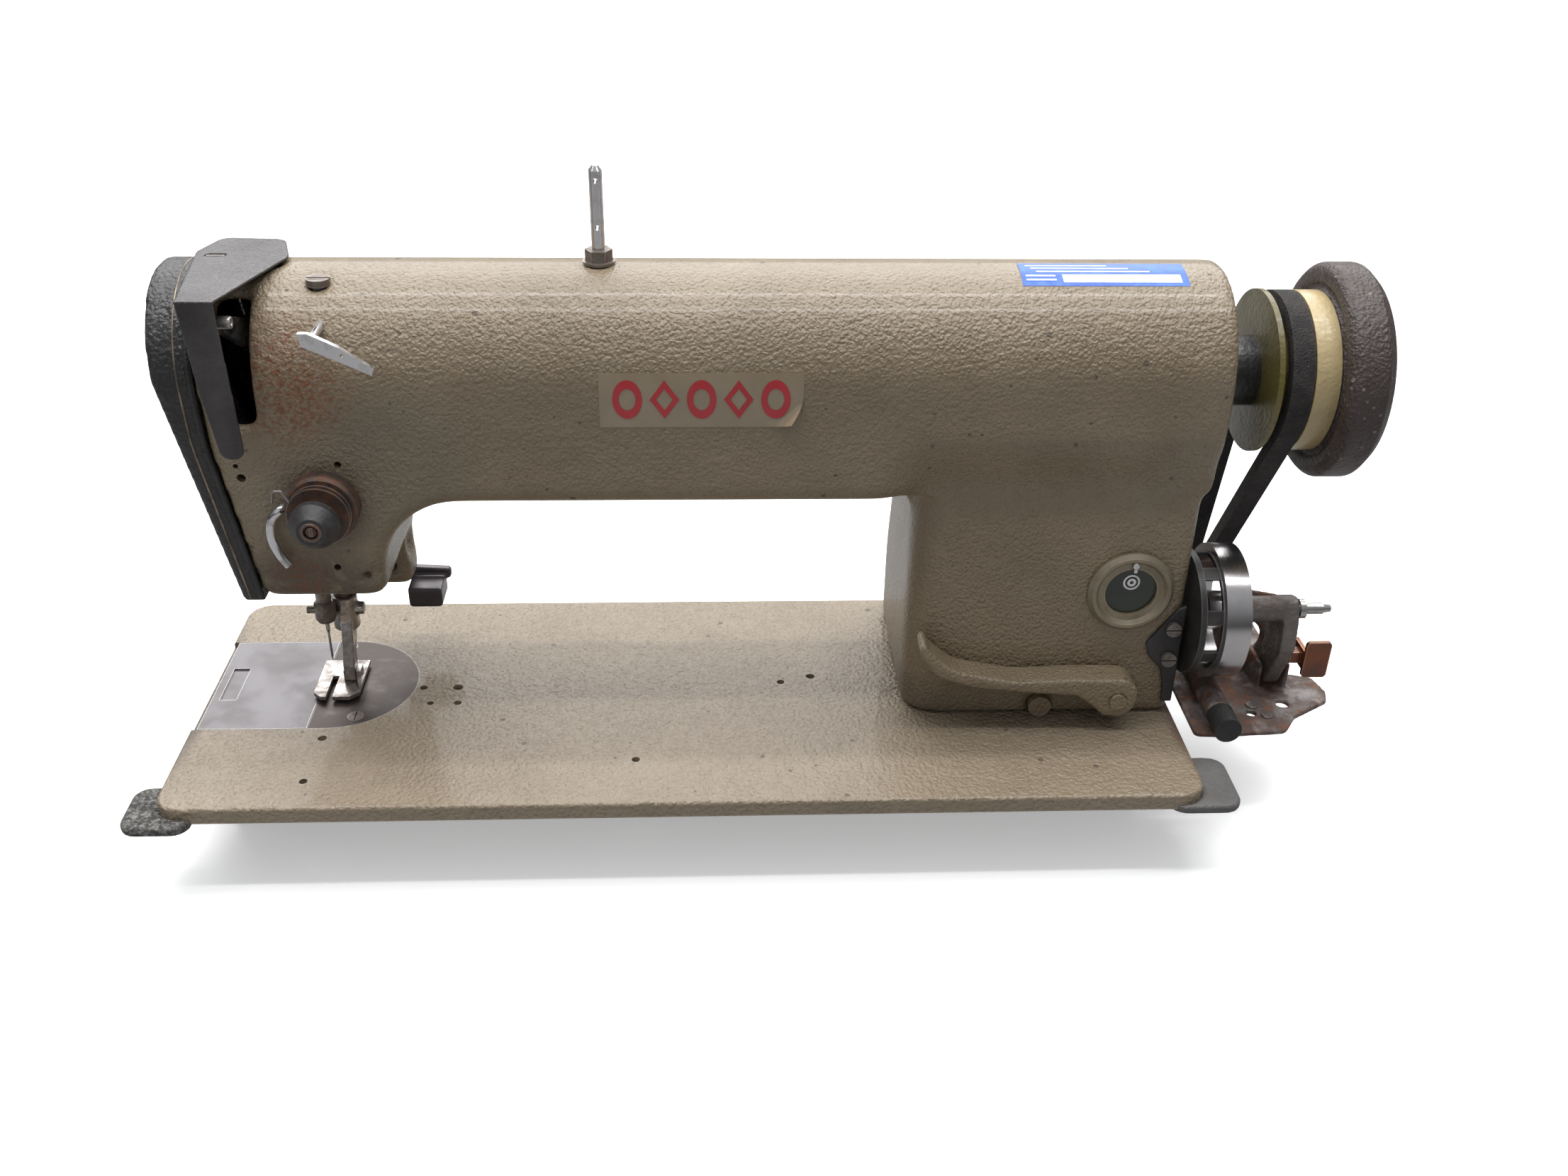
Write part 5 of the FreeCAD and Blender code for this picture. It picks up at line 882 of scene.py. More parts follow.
WHEEL = Finish(
    "wheel_brown_enamel", (0.040, 0.026, 0.023), rough=0.44, pebble=(640.0, 0.0006),
    centre="handwheel",
    stains=(Layer((0.070, 0.055, 0.050), 34.0, 0.5, 0.2, 0.55, 0.7),
            Layer((0.030, 0.018, 0.012), 90.0, 0.35, 0.12, 0.6, 0.6)),
    specks=Layer((0.20, 0.165, 0.14), 300.0, 0.30, 0.1, 0.6, 0.75),
    edge=Layer((0.20, 0.17, 0.15), 380.0, 0.5, 0.1, 0.45, 0.8), edge_radius=0.002)
BAR_STEEL = Finish(
    "grimy_bar_steel", (0.25, 0.22, 0.195), rough=0.3, metal=0.95,
    stains=(Layer((0.06, 0.04, 0.028), 110.0, 0.5, 0.15, 0.6, 0.8),
            Layer((0.14, 0.06, 0.03), 200.0, 0.3, 0.1, 0.8, 0.6)),
    edge=Layer((0.55, 0.53, 0.50), 500.0, 0.65, 0.1, 0.25, 0.9), edge_metal=1.0, edge_radius=0.0007)
FOOT_CHROME = Finish(
    "worn_foot_plating", (0.46, 0.43, 0.41), rough=0.2, metal=1.0,
    stains=(Layer((0.12, 0.08, 0.055), 150.0, 0.42, 0.15, 0.5, 0.7),))
LIFTER_STEEL = Finish(
    "lifter_dark_steel", (0.11, 0.10, 0.105), rough=0.3, metal=0.9,
    stains=(Layer((0.035, 0.03, 0.03), 60.0, 0.4, 0.2, 0.5, 0.7),),
    edge=Layer((0.60, 0.56, 0.54), 300.0, 0.75, 0.1, 0.25, 0.95), edge_metal=1.0)
ALUMINIUM = Finish(
    "turned_aluminium", (0.62, 0.62, 0.63), rough=0.3, metal=1.0, grain=(1500.0, 0.00004),
    centre="bobbin", stains=(Layer((0.30, 0.28, 0.26), 80.0, 0.3, 0.2, 0.4, 0.5),))
WINDER_CAST = Finish(
    "winder_cast_steel", (0.19, 0.17, 0.16), rough=0.42, metal=0.8, pebble=(500.0, 0.0003),
    stains=(Layer((0.07, 0.055, 0.048), 60.0, 0.5, 0.18, 0.6, 0.75),
            Layer((0.12, 0.06, 0.035), 150.0, 0.25, 0.1, 0.8, 0.7)),
    edge=Layer(BARE_STEEL, 420.0, 0.6, 0.1, 0.3, 0.9), edge_metal=1.0)
COPPER = Finish(
    "tarnished_copper", (0.19, 0.075, 0.042), rough=0.3, metal=0.9,
    stains=(Layer((0.06, 0.026, 0.018), 70.0, 0.5, 0.18, 0.5, 0.75),),
    edge=Layer((0.50, 0.27, 0.17), 400.0, 0.65, 0.1, 0.3, 0.9), edge_metal=1.0)
WINDER_WHEEL = BandedFinish(
    "winder_wheel_black_and_ring", (0.016, 0.015, 0.015), rough=0.38, centre="winder_wheel",
    grain=(1400.0, 0.00004),
    stains=(Layer((0.06, 0.055, 0.05), 70.0, 0.35, 0.18, 0.55, 0.6),),
    edge=Layer((0.16, 0.15, 0.14), 420.0, 0.5, 0.1, 0.4, 0.7),
    other=(0.52, 0.50, 0.50), other_rough=0.2, other_metal=1.0, low=487.9, high=500.5)
CUSHION = ZonedFinish(
    "grey_cushion_rubber", (0.135, 0.13, 0.125), rough=0.55, pebble=(900.0, 0.0003),
    stains=(Layer((0.075, 0.07, 0.068), 45.0, 0.45, 0.2, 0.6, 0.6),),
    specks=Layer((0.05, 0.048, 0.045), 300.0, 0.2, 0.1, 0.7, 0.6),
    edge=Layer((0.19, 0.18, 0.175), 400.0, 0.4, 0.1, 0.6, 0.5),
    zones=(Zone((0, 5, -10), 40, (0.022, 0.02, 0.018), 420.0, 0.72, 0.95),
           Zone((0, 5, -10), 40, (0.33, 0.32, 0.30), 520.0, 0.36, 0.7)))
TIP_RUBBER = Finish(
    "black_tip_rubber", (0.012, 0.013, 0.012), rough=0.6, pebble=(900.0, 0.0002),
    stains=(Layer((0.04, 0.04, 0.037), 90.0, 0.35, 0.18, 0.7, 0.6),))

FINISH_OF: dict[str, Finish] = {
    "arm_casting": ENAMEL_ARM, "bed_casting": ENAMEL_BED, "face_cover": COVER_BLACK,
    "take_up_guard": GUARD_CHARCOAL, "needle_plate": NEEDLE_PLATE, "slide_plate": SLIDE_PLATE,
    "thread_post": CHROME, "thread_post_nut": BAR_STEEL, "arm_thread_guide": CHROME,
    "hook_thread_guide": CHROME, "tension_base": TENSION_STEEL, "tension_discs": TENSION_STEEL,
    "tension_spring": SPRING_STEEL, "tension_knob": BLACK_PLASTIC, "check_spring": SPRING_STEEL,
    "oil_plug": BAR_STEEL, "window_bezel": WINDOW_TRIM, "window_glass": WINDOW_GLASS,
    "belt_guard": BLACK_PLASTIC, "rear_cover": ENAMEL_ARM, "machine_screws": SCREW_STEEL,
    "bed_bolts": SCREW_STEEL, "lever_pin": ENAMEL_ARM, "take_up_stud": SHAFT_STEEL,
    "shaft_bushes": BRONZE, "bar_bushes": BRONZE, "main_shaft": SHAFT_STEEL, "crank": FORGED,
    "upper_drive_pulley": FORGED, "lower_drive_pulley": FORGED, "timing_belt": BELT,
    "v_belt": BELT, "belt_pulley": PULLEY, "handwheel": WHEEL, "take_up_lever": SHAFT_STEEL,
    "needle_bar": BAR_STEEL, "needle_clamp": BAR_STEEL, "needle": CHROME,
    "needle_bar_link": FORGED, "presser_bar": BAR_STEEL, "presser_foot": FOOT_CHROME,
    "foot_sole": FOOT_CHROME, "presser_spring": SPRING_STEEL, "hand_lifter": LIFTER_STEEL,
    "hook_shaft": SHAFT_STEEL, "rotary_hook": SLIDE_PLATE, "bobbin_case": SLIDE_PLATE,
    "bobbin": ALUMINIUM, "feed_bar": FORGED, "feed_dog": FOOT_CHROME, "feed_rock_shaft": SHAFT_STEEL,
    "reverse_lever": ENAMEL_ARM, "stitch_button": ENAMEL_ARM, "winder_base": RUSTY_STEEL,
    "winder_stop_tip": TIP_RUBBER, "winder_arm": WINDER_CAST, "winder_latch": COPPER,
    "winder_wheel": WINDER_WHEEL, "winder_spindle": SHAFT_STEEL, "rubber_cushions": CUSHION,
}


class Paint:
    """Keeps each finish's material, made once."""

    def __init__(self) -> None:
        """Starts with no material made."""
        self.made: dict[str, bpy.types.Material] = {}

    def give(self, piece: bpy.types.Object, finish: Finish) -> None:
        """Sets a piece's only material."""
        if finish.name not in self.made:
            self.made[finish.name] = finish.build()
        piece.data.materials.clear()
        piece.data.materials.append(self.made[finish.name])


# ------------------------------------------------------------------ sub-assemblies
@dataclass
class Castings:
    """The castings, forgings and mouldings whose edges are softened.

    Attributes:
        paint: The finishes' materials.
        arm_voxel: Grid size of the arm's skin, which keeps it under the limit of triangles.
        drill_out: How far a hole's drill starts outside the paint, in millimetres.
        drill_in: How far it goes in.
    """

    paint: Paint
    arm_voxel: float = 2.16
    drill_out: float = 6.0
    drill_in: float = 12.0

    def hole_cuts(self) -> list[tuple[Vector, Vector, float]]:
        """Reads the head's open screw holes from the record's mounts."""
        cuts = []
        for mount in frame["record"]["mounts"]:
            if not mount["name"].startswith("head_hole"):
                continue
            start = Vector(mount["pos_m"])
            axis = Vector(mount["axis"])
            cuts.append((start - axis * self.drill_out * MM, start + axis * self.drill_in * MM,
                         mount["dims"]["r_mm"]))
        return cuts

    def build(self) -> list[bpy.types.Object]:
        """Makes the softened copies."""
        copies = [
            SoftCopy("arm_casting", "arm_shell", self.arm_voxel, 7, "head", "arm_enamel",
                     cuts=self.hole_cuts(), blend_front=True),
            SoftCopy("face_cover", "face_cover_shell", 1.1, 8, "head", "cover_paint"),
            SoftCopy("take_up_guard", "take_up_guard_plate", 0.5, 5, "head", "guard_paint"),
            SoftCopy("reverse_lever", "reverse_lever_casting", 0.8, 8, "reverse", "arm_enamel"),
            SoftCopy("rubber_cushions", "moulded_cushions", 0.9, 6, "head", "cushion_rubber"),
            SoftCopy("handwheel", "handwheel_casting", 0.9, 3, "shaft", "wheel_paint", crease=50.0),
            SoftCopy("hand_lifter", "hand_lifter_casting", 0.6, 6, "lifter", "lifter_steel"),
            SoftCopy("take_up_lever", "take_up_lever_forging", 0.45, 6, "take_up", "shaft_steel"),
            SoftCopy("presser_foot", "presser_foot_casting", 0.45, 4, "presser", "foot_steel"),
            SoftCopy("winder_base", "winder_base_casting", 0.8, 4, "head", "rusty_steel"),
            SoftCopy("winder_arm", "winder_arm_casting", 0.7, 5, "winder_frame", "winder_steel"),
            SoftCopy("belt_guard", "belt_guard_moulding", 0.5, 3, "head", "black_plastic"),
        ]
        made = []
        for copy in copies:
            piece = copy.build()
            self.paint.give(piece, FINISH_OF[copy.node])
            made.append(piece)
        return made


@dataclass
class Arm:
    """Where the arm's painted surface lies, in millimetres from the bed's corner."""

    middle: float = 100.0
    half: float = 43.0
    round_height: float = 174.0

    def front(self, height: float, lift: float = 0.0) -> float:
        """Gives the depth of the arm's front at a height.

        Args:
            height: Height over the bed.
            lift: How far outside the paint the answer lies.

        Returns:
            The y of the surface.
        """
        over = height - self.round_height
        if over <= 0:
            return self.middle - self.half - lift
        return self.middle - math.sqrt((self.half + lift) ** 2 - over ** 2)

    def crown(self, degrees: float, lift: float = 0.0) -> tuple[float, float]:
        """Gives (y, z) on the arm's round top, at an angle from straight up towards the operator."""
        turn = math.radians(degrees)
        reach = self.half + lift
        return self.middle - reach * math.sin(turn), self.round_height + reach * math.cos(turn)


@dataclass
class Labels:
    """The two generic labels: a film with red marks on the arm's front, and a service label.

    Attributes:
        paint: The finishes' materials.
        arm: Where the painted surface lies.
        film_x: The film's two ends, in millimetres from the bed's corner.
        film_z: Its lower and upper edge.
        label_x: The service label's two ends.
        label_angle: Its two edges over the arm's top, in degrees from straight up.
        marks: How many red marks there are.
        mark_hole: The size of a mark's opening, as a share of the mark.
        peel_reach: How far in from the film's lower right corner it peels.
        peel_height: How far the corner stands off.
        film: The film's finish.
        red: The marks' finish.
        blue: The service label's ground.
        white: Its panels.
    """

    paint: Paint
    arm: Arm
    film_x: tuple[float, float] = (202.0, 289.0)
    film_z: tuple[float, float] = (158.5, 183.0)
    label_x: tuple[float, float] = (384.0, 457.0)
    label_angle: tuple[float, float] = (0.5, 25.0)
    marks: int = 5
    mark_hole: float = 0.56
    peel_reach: float = 16.0
    peel_height: float = 7.0
    film: Finish = Finish("clear_film", (0.235, 0.185, 0.12), rough=0.24, coat=0.6,
                          stains=(Layer((0.29, 0.235, 0.16), 60.0, 0.4, 0.2, 0.3, 0.5),))
    red: Finish = Finish("red_film", (0.42, 0.012, 0.02), rough=0.3, coat=0.4,
                         stains=(Layer((0.30, 0.01, 0.015), 70.0, 0.4, 0.2, 0.4, 0.6),))
    blue: Finish = Finish("blue_label_print", (0.010, 0.085, 0.52), rough=0.36,
                          stains=(Layer((0.07, 0.20, 0.60), 130.0, 0.35, 0.15, 0.5, 0.7),))
    white: Finish = Finish("white_label_paper", (0.78, 0.77, 0.78), rough=0.5,
                           stains=(Layer((0.40, 0.37, 0.36), 90.0, 0.35, 0.2, 0.6, 0.6),))

    def build(self) -> list[bpy.types.Object]:
        """Makes both labels."""
        return [self.film_sheet(), self.film_marks(), self.service_base(), self.service_panels()]

    def patch(self, bm: bmesh.types.BMesh, x: tuple[float, float], across: tuple[float, float],
              point: Place, cells: tuple[int, int]) -> None:
        """Adds a thin sheet patch whose places come from point(x, across)."""
        made = bmesh.ops.create_grid(bm, x_segments=cells[0], y_segments=cells[1], size=0.5)
        for vert in made["verts"]:
            u, v = vert.co.x + 0.5, vert.co.y + 0.5
            vert.co = point(x[0] + (x[1] - x[0]) * u, across[0] + (across[1] - across[0]) * v)

    def sheet(self, bm: bmesh.types.BMesh, name: str, finish: Finish, thick: float) -> bpy.types.Object:
        """Gives a patch its thickness, finish and body."""
        bmesh.ops.recalc_face_normals(bm, faces=bm.faces)
        faces = list(bm.faces)
        bmesh.ops.solidify(bm, geom=faces, thickness=thick * MM)
        piece = finish_bmesh(bm, name)
        self.paint.give(piece, finish)
        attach(piece, "head")
        return piece

    def on_front(self, lift: float) -> Place:
        """Gives the function that places film points, with the lower right corner peeling away."""
        def point(x: float, z: float) -> Vector:
            """Places one point of the film."""
            reach = self.peel_reach
            corner = (x - self.film_x[1] + reach) / reach + (self.film_z[0] + reach - z) / reach - 1.0
            peel = max(0.0, corner) ** 2 * self.peel_height
            return at(x - peel * 0.8, self.arm.front(z, lift) - peel, z + peel * 0.5)
        return point

    def film_sheet(self) -> bpy.types.Object:
        """Makes the clear film."""
        bm = bmesh.new()
        self.patch(bm, self.film_x, self.film_z, self.on_front(0.15), (40, 16))
        return self.sheet(bm, "maker_film", self.film, 0.1)

    def film_marks(self) -> bpy.types.Object:
        """Makes plain red rings and open lozenges, which stand for no letters."""
        bm = bmesh.new()
        low, high = self.film_z[0] + 4.0, self.film_z[1] - 3.0
        span = (self.film_x[1] - self.film_x[0] - 8) / self.marks
        place = self.on_front(0.35)
        middle = (low + high) / 2
        half = (high - low) / 2
        for index in range(self.marks):
            centre = self.film_x[0] + 4 + span * (index + 0.5)
            reach = span * 0.40
            count = 4 if index % 2 else 32
            rings = [[bm.verts.new(place(centre + math.cos(math.tau * k / count) * reach * size,
                                         middle + math.sin(math.tau * k / count) * half * size))
                      for k in range(count)] for size in (1.0, self.mark_hole)]
            for k in range(count):
                after = (k + 1) % count
                bm.faces.new((rings[0][k], rings[0][after], rings[1][after], rings[1][k]))
        return self.sheet(bm, "maker_marks", self.red, 0.12)

    def on_crown(self, lift: float) -> Place:
        """Gives the function that places label points over the arm's round top."""
        def point(x: float, degrees: float) -> Vector:
            """Places one point of the label."""
            y, z = self.arm.crown(degrees, lift)
            return at(x, y, z)
        return point

    def service_base(self) -> bpy.types.Object:
        """Makes the blue ground of the service label."""
        bm = bmesh.new()
        self.patch(bm, self.label_x, self.label_angle, self.on_crown(0.12), (30, 16))
        return self.sheet(bm, "service_label", self.blue, 0.1)

    def service_panels(self) -> bpy.types.Object:
        """Makes the white panels and thin white rules printed on the service label."""
        bm = bmesh.new()
        place = self.on_crown(0.28)
        x0, x1 = self.label_x
        a0, a1 = self.label_angle
        turn = (a1 - a0) / 10
        self.patch(bm, (x0 + 18, x1 - 3), (a1 - 4.2 * turn, a1 - 1.2 * turn), place, (12, 4))
        for row in range(3):
            angle = a0 + turn * (1.2 + row * 1.5)
            self.patch(bm, (x0 + 3 + 2 * row, x1 - 34 + 9 * row), (angle, angle + turn * 0.5), place, (10, 1))
        self.patch(bm, (x0 + 2, x0 + 15), (a1 - 4.0 * turn, a1 - 3.4 * turn), place, (4, 1))
        self.patch(bm, (x0 + 2, x0 + 15), (a1 - 2.4 * turn, a1 - 1.8 * turn), place, (4, 1))
        return self.sheet(bm, "service_label_panels", self.white, 0.1)


@dataclass
class CoverSeam:
    """The beads along the face cover's joint with the head.

    Attributes:
        paint: The finishes' materials.
        arm: Where the painted surface lies.
        top_x: The joint's place at the arm's top, in millimetres from the bed's corner.
        bend: Where the joint bends, as (x, z).
        bottom: Where it ends, as (x, z).
        side_steps: Points up each side.
        crown_steps: Runs over the top.
        line: The light line's finish.
        rubber: The gasket's finish.
    """

    paint: Paint
    arm: Arm
    top_x: float = 33.0
    bend: tuple[float, float] = (35.0, 151.0)
    bottom: tuple[float, float] = (48.0, 75.0)
    side_steps: int = 14
    crown_steps: int = 24
    line: Finish = Finish("seam_line_metal", (0.30, 0.24, 0.17), rough=0.35, metal=0.5,
                          stains=(Layer((0.04, 0.03, 0.025), 120.0, 0.5, 0.15, 0.6, 0.8),))
    rubber: Finish = Finish("seam_gasket_rubber", (0.010, 0.010, 0.010), rough=0.3, pebble=(900.0, 0.0002),
                            stains=(Layer((0.04, 0.038, 0.035), 80.0, 0.4, 0.2, 0.4, 0.6),))

    def joint_x(self, height: float) -> float:
        """Gives the joint's place along X at a height."""
        bend_x, bend_z = self.bend
        if height >= bend_z:
            share = (height - bend_z) / (self.arm.round_height + self.arm.half - bend_z)
            return bend_x + (self.top_x - bend_x) * share
        low_x, low_z = self.bottom
        return low_x + (bend_x - low_x) * (height - low_z) / (bend_z - low_z)

    def route(self, shift: float, lift: float) -> list[Vector]:
        """Gives points up the head's front, over its crown and down its back."""
        points = []
        rise = self.arm.round_height - self.bottom[1]
        heights = [self.bottom[1] + rise * i / self.side_steps for i in range(self.side_steps)]
        for z in heights:
            points.append(at(self.joint_x(z) + shift, self.arm.middle - self.arm.half - lift, z))
        for step in range(self.crown_steps + 1):
            y, z = self.arm.crown(90 - 180 * step / self.crown_steps, lift)
            points.append(at(self.joint_x(z) + shift, y, z))
        for z in reversed(heights):
            points.append(at(self.joint_x(z) + shift, self.arm.middle + self.arm.half + lift, z))
        return points

    def bead(self, name: str, shift: float, radius: float, lift: float, finish: Finish) -> bpy.types.Object:
        """Makes one bead as a closed tube along the route."""
        piece = tube_piece(name, self.route(shift, lift), radius)
        shade(piece.data, 60.0)
        self.paint.give(piece, finish)
        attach(piece, "head")
        return piece

    def build(self) -> list[bpy.types.Object]:
        """Makes the light line and the rubber gasket bead."""
        return [self.bead("cover_seam_line", -6.4, 0.42, 0.0, self.line),
                self.bead("cover_gasket", -1.6, 1.5, -0.9, self.rubber)]


@dataclass
class Trim:
    """The small pieces: knob insert, window ring, nozzle and keeper, screws, hook, bar and spring.

    Attributes:
        paint: The finishes' materials.
        window_ring: Outer radius of the ring round the glass, in millimetres.
        nozzle_drop: How far over the glass's middle the nozzle sits.
        insert_radius: Outer radius of the ring in the tension knob.
        hook_stand: The thread hook's depth from the bed's front, behind the check spring's path.
        hook_radius: The thread hook's own radius.
    """

    paint: Paint
    window_ring: float = 12.9
    nozzle_drop: float = 4.6
    insert_radius: float = 4.6
    hook_stand: float = 52.3
    hook_radius: float = 2.1

    def build(self) -> list[bpy.types.Object]:
        """Makes every small piece."""
        return [self.knob_insert(), self.window_line(), self.window_nozzle(), self.window_pointer(),
                *self.base_screws(), self.thread_hook(), self.guard_slot(), self.presser_coil()]

    def presser_coil(self) -> bpy.types.Object:
        """Makes the presser spring from the frame's own, riding whole on the presser."""
        low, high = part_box("presser_spring")
        bm = bmesh.new()
        bm.from_mesh(frame["nodes"]["presser_spring"].data)
        piece = finish_bmesh(bm, "presser_coil")
        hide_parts("presser_spring")
        self.dress(piece, SPRING_STEEL, "presser")
        lift = next(joint for joint in frame["joints"] if joint["name"] == "presser_lift")
        1 - max(lift["range_m"]) / (high.z - low.z)
        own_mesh(piece)
        return piece

    def thread_hook(self) -> bpy.types.Object:
        out = self.hook_stand
        path = eased([at(64.0, 59.0, 121.0), at(63.0, out, 122.5), at(57.5, out, 117.0), at(56.5, out, 108.0),
                      at(59.0, out, 100.0), at(62.5, out, 94.5)], 4)
        piece = tube_piece("thread_hook", path, self.hook_radius, 6)
        shade(piece.data, 60.0)
        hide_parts("hook_thread_guide")
        return self.dress(piece, CHROME, "head")

    def guard_slot(self) -> bpy.types.Object:
        """Makes the dark bar that shows in the slot of the guard's top leaf."""
        bm = bmesh.new()
        top = (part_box("take_up_guard")[1] - CORNER).z / MM
        block(bm, at(33.6, 102.0, top - 1.3), at(41.4, 104.0, top - 0.4))
        return self.dress(finish_bmesh(bm, "guard_slot_bar"), COVER_BLACK, "head")

    def dress(self, piece: bpy.types.Object, finish: Finish, body: str) -> bpy.types.Object:
        """Gives a piece its finish and body."""
        self.paint.give(piece, finish)
        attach(piece, body)
        return piece

    def knob_insert(self) -> bpy.types.Object:
        """Makes the rusty ring and slotted stud end in the tension knob's face."""
        face = front_middle("tension_knob")
        bm = bmesh.new()
        reach = self.insert_radius
        lathe(bm, [(reach - 1.5, -2.0), (reach - 1.3, 0.3), (reach - 0.4, 0.5), (reach, 0.1), (reach, -2.0)],
              face, FRONT, 40)
        rod(bm, face + Vector((0, 3, 0)) * MM, face + Vector((0, 0.2, 0)) * MM, 2.4, bevel=0.4)
        block(bm, face + Vector((-0.45, 0.0, -2.0)) * MM, face + Vector((0.45, 0.8, 2.0)) * MM)
        return self.dress(finish_bmesh(bm, "tension_knob_insert"), TENSION_STEEL, "tension_knob")

    def window_line(self) -> bpy.types.Object:
        """Makes the thin bright ring around the glass."""
        bm = bmesh.new()
        reach = self.window_ring
        lathe(bm, [(reach - 0.7, -0.5), (reach - 0.6, 0.25), (reach - 0.1, 0.3), (reach, -0.5)],
              front_middle("window_glass"), FRONT, 64)
        return self.dress(finish_bmesh(bm, "window_retaining_ring"), WINDOW_GOLD, "head")

    def window_nozzle(self) -> bpy.types.Object:
        """Makes the small oil nozzle with its collar behind the glass's upper edge."""
        bm = bmesh.new()
        centre = front_middle("window_glass") + Vector((0, 0, self.nozzle_drop)) * MM
        lathe(bm, [(3.1, -0.3), (3.1, 0.35), (4.0, 0.35), (4.0, -0.3)], centre, FRONT, 40)
        lathe(bm, [(0.9, -0.3), (0.9, 0.5), (2.1, 0.5), (2.1, -0.3)], centre, FRONT, 32)
        return self.dress(finish_bmesh(bm, "window_oil_nozzle"), CHROME, "head")

    def window_pointer(self) -> bpy.types.Object:
        """Makes the small keeper screw on the bezel's upper edge."""
        low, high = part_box("window_bezel")
        centre = Vector(((low.x + high.x) / 2, low.y, high.z - 5.4 * MM))
        bm = bmesh.new()
        rod(bm, centre + Vector((0, 2.5, 0)) * MM, centre + Vector((0, -0.7, 0)) * MM, 1.6, bevel=0.3)
        block(bm, centre + Vector((-0.9, -0.6, -3.6)) * MM, centre + Vector((0.9, 1.5, -1.3)) * MM, 0.3)
        return self.dress(finish_bmesh(bm, "window_keeper"), CHROME, "head")

    def base_screws(self) -> list[bpy.types.Object]:
        """Makes the two cross-head screws that hold the winder's base plate together."""
        bm = bmesh.new()
        for x, y in ((516.0, 66.0), (521.0, 57.5)):
            seat = at(x, y, 3.2)
            rod(bm, seat - Vector((0, 0, 1.0)) * MM, seat + Vector((0, 0, 0.9)) * MM, 3.1, bevel=0.6)
            for turn in (math.radians(35), math.radians(125)):
                bar = Vector((math.cos(turn), math.sin(turn), 0)) * 1.9 * MM
                top = seat + Vector((0, 0, 0.86)) * MM
                rod(bm, top - bar, top + bar, 0.35, 10)
        return [self.dress(finish_bmesh(bm, "winder_base_screws"), SCREW_STEEL, "head")]


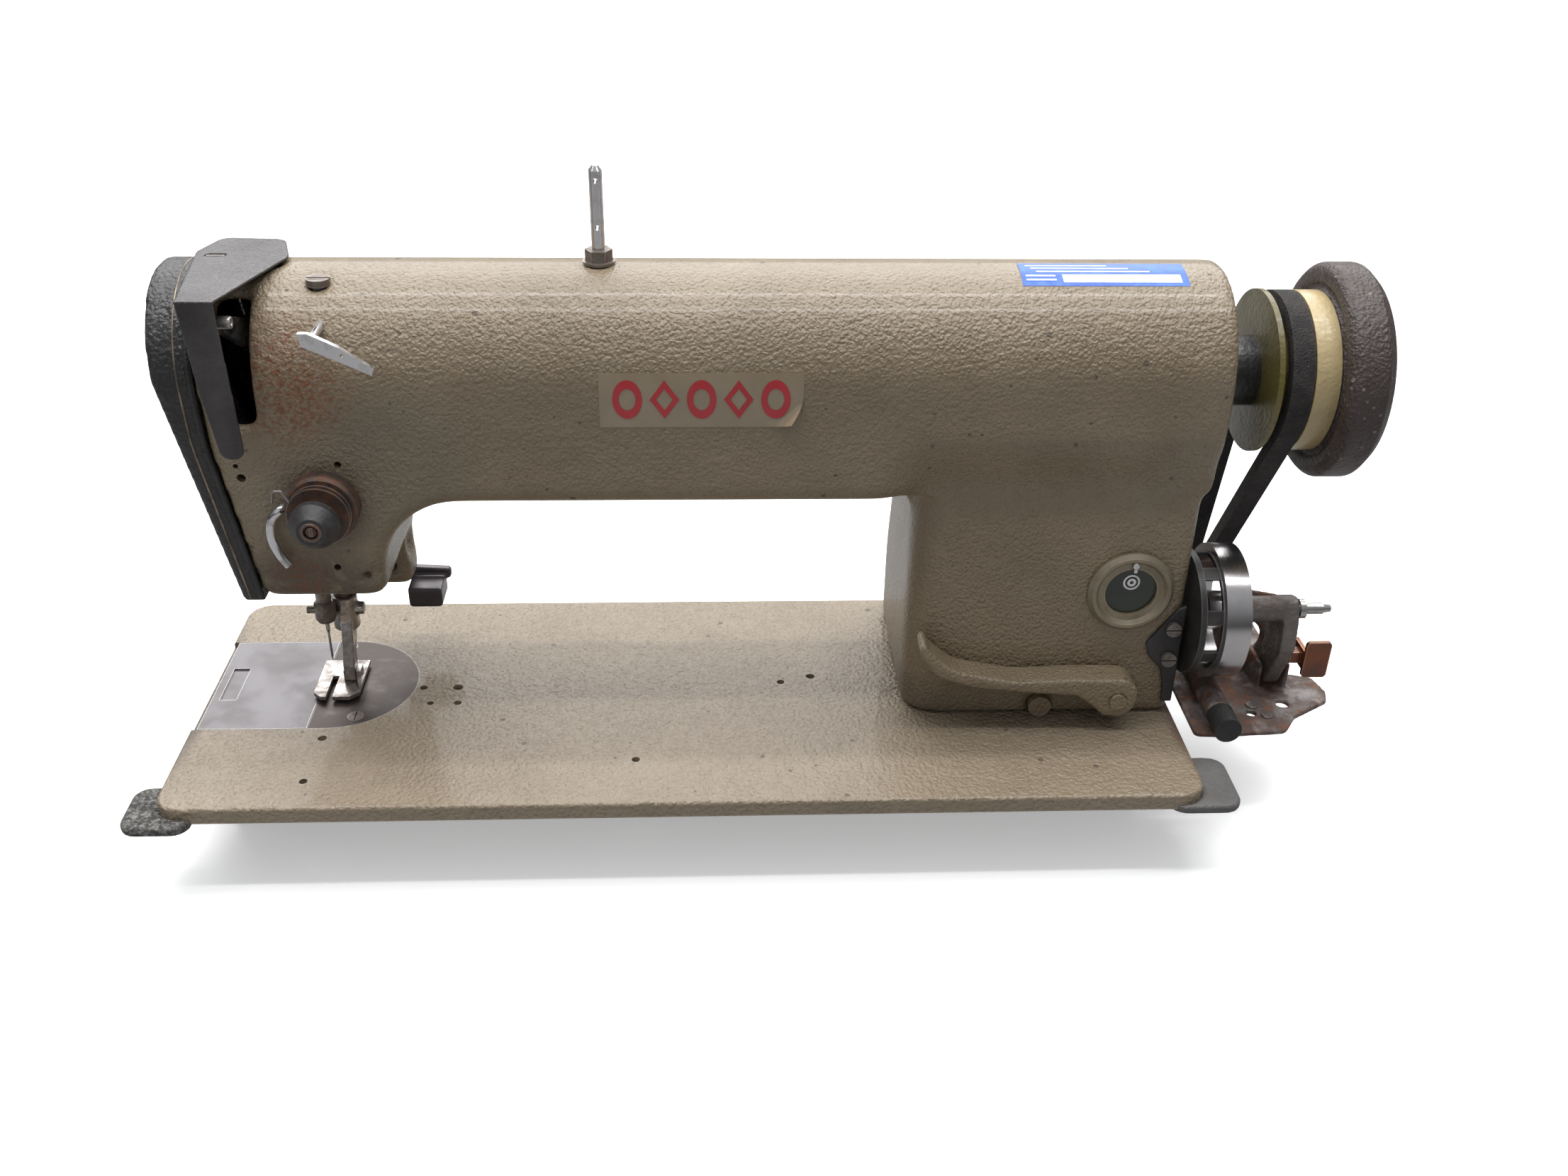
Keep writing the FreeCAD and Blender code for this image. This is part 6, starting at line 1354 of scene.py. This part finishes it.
# ------------------------------------------------------------------ studio
@dataclass
class Studio:
    """The floor, the lights and the camera.

    Attributes:
        camera_place: The camera's place, in millimetres from the bed's corner.
        yaw: How far the camera turns right, in degrees.
        pitch: How far it looks down.
        roll: How far it leans.
        lens: Its focal length for a 36 mm sensor.
        lamps: Each lamp's name, place from the arch under the arm, size in metres and power.
    """

    camera_place: tuple[float, float, float] = (248.637, -534.924, 423.083)
    yaw: float = 3.24443
    pitch: float = 30.19198
    roll: float = -1.176
    lens: float = 34.402
    lamps: tuple[tuple[str, tuple[float, float, float], tuple[float, float], float], ...] = (
        ("ceiling", (0.0, 0.35, 1.6), (2.4, 1.6), 30.0),
        ("back_wall", (0.0, 2.0, 1.35), (3.4, 1.3), 46.0),
        ("tube_front", (0.0, -0.25, 1.15), (1.7, 0.05), 5.0),
        ("tube_middle", (0.0, 0.12, 1.2), (1.7, 0.05), 7.0),
        ("front_fill", (-0.6, -1.6, 0.9), (1.6, 1.2), 2.5),
    )

    def build(self) -> None:
        """Makes the whole studio."""
        self.floor()
        self.lights()
        self.camera()

    def floor(self) -> None:
        """Lays a plain pale floor."""
        bm = bmesh.new()
        bmesh.ops.create_grid(bm, x_segments=1, y_segments=1, size=6.0)
        mesh = bpy.data.meshes.new("studio_floor")
        bm.to_mesh(mesh)
        bm.free()
        floor = new_piece("studio_floor", mesh)
        material = bpy.data.materials.new("studio_floor_paint")
        material.use_nodes = True
        shader = material.node_tree.nodes["Principled BSDF"]
        shader.inputs["Roughness"].default_value = 0.8
        shader.inputs["Emission Color"].default_value = (1.0, 1.0, 1.0, 1)
        sheet = Sheet(material.node_tree)
        seen = sheet.add("ShaderNodeLightPath").outputs["Is Camera Ray"]
        sheet.put(shader.inputs["Base Color"], sheet.mix(seen, (0.30, 0.30, 0.30), (0.93, 0.93, 0.93)))
        sheet.put(shader.inputs["Emission Strength"], sheet.math("MULTIPLY", seen, 0.35))
        mesh.materials.append(material)

    def area(self, name: str, place: Vector, target: Vector, size: tuple[float, float], power: float) -> None:
        """Hangs one area light that points at a target."""
        light = bpy.data.lights.new(name, "AREA")
        light.shape = "RECTANGLE"
        light.size, light.size_y = size
        light.energy = power
        holder = bpy.data.objects.new(name, light)
        bpy.context.scene.collection.objects.link(holder)
        holder.location = place
        holder.rotation_euler = (target - place).to_track_quat("-Z", "Y").to_euler()

    def lights(self) -> None:
        """Hangs every lamp and sets the sky, which darkens towards the floor."""
        middle = at(238, 90, 60)
        for name, shift, size, power in self.lamps:
            self.area(name, middle + Vector(shift), middle, size, power)
        world = bpy.data.worlds.new("studio")
        world.use_nodes = True
        tree = world.node_tree
        way = tree.nodes.new("ShaderNodeTexCoord")
        parts = tree.nodes.new("ShaderNodeSeparateXYZ")
        ramp = tree.nodes.new("ShaderNodeValToRGB")
        tree.links.new(way.outputs["Generated"], parts.inputs[0])
        tree.links.new(parts.outputs[2], ramp.inputs[0])
        tree.links.new(ramp.outputs[0], tree.nodes["Background"].inputs["Color"])
        ramp.color_ramp.elements[0].position = 0.0
        ramp.color_ramp.elements[0].color = (0.10, 0.10, 0.105, 1)
        ramp.color_ramp.elements[1].position = 0.75
        ramp.color_ramp.elements[1].color = (0.95, 0.97, 1.0, 1)
        tree.nodes["Background"].inputs["Strength"].default_value = 0.6
        bpy.context.scene.world = world
        bpy.context.scene.view_settings.view_transform = "Standard"

    def camera(self) -> None:
        """Sets the camera from its yaw, pitch and roll."""
        yaw, pitch, roll = (math.radians(a) for a in (self.yaw, self.pitch, self.roll))
        ahead = Vector((math.sin(yaw) * math.cos(pitch), math.cos(yaw) * math.cos(pitch), -math.sin(pitch)))
        level = Vector((math.cos(yaw), -math.sin(yaw), 0.0))
        down = ahead.cross(level)
        right = level * math.cos(roll) + down * math.sin(roll)
        below = down * math.cos(roll) - level * math.sin(roll)
        data = bpy.data.cameras.new("view")
        data.sensor_width = 36.0
        data.lens = self.lens
        holder = bpy.data.objects.new("view", data)
        bpy.context.scene.collection.objects.link(holder)
        turn = Matrix((right, -below, -ahead)).transposed().to_4x4()
        holder.matrix_world = Matrix.Translation(at(*self.camera_place)) @ turn
        bpy.context.scene.camera = holder


def dress_nodes(paint: Paint) -> None:
    """Gives every frame node its finish."""
    for name, node in frame["nodes"].items():
        paint.give(node, FINISH_OF[name])


def main() -> None:
    """Builds the looks in order and reports each piece."""
    logging.basicConfig(level=logging.INFO, format="%(name)s: %(message)s")
    Studio().build()
    build_effects()
    paint = Paint()
    arm = Arm()
    dress_nodes(paint)
    for assembly in (Castings(paint), Labels(paint, arm), CoverSeam(paint, arm), Trim(paint)):
        for piece in assembly.build():
            log.info("%s: %d faces", piece.name, len(piece.data.polygons))


if __name__ == "__main__":
    main()
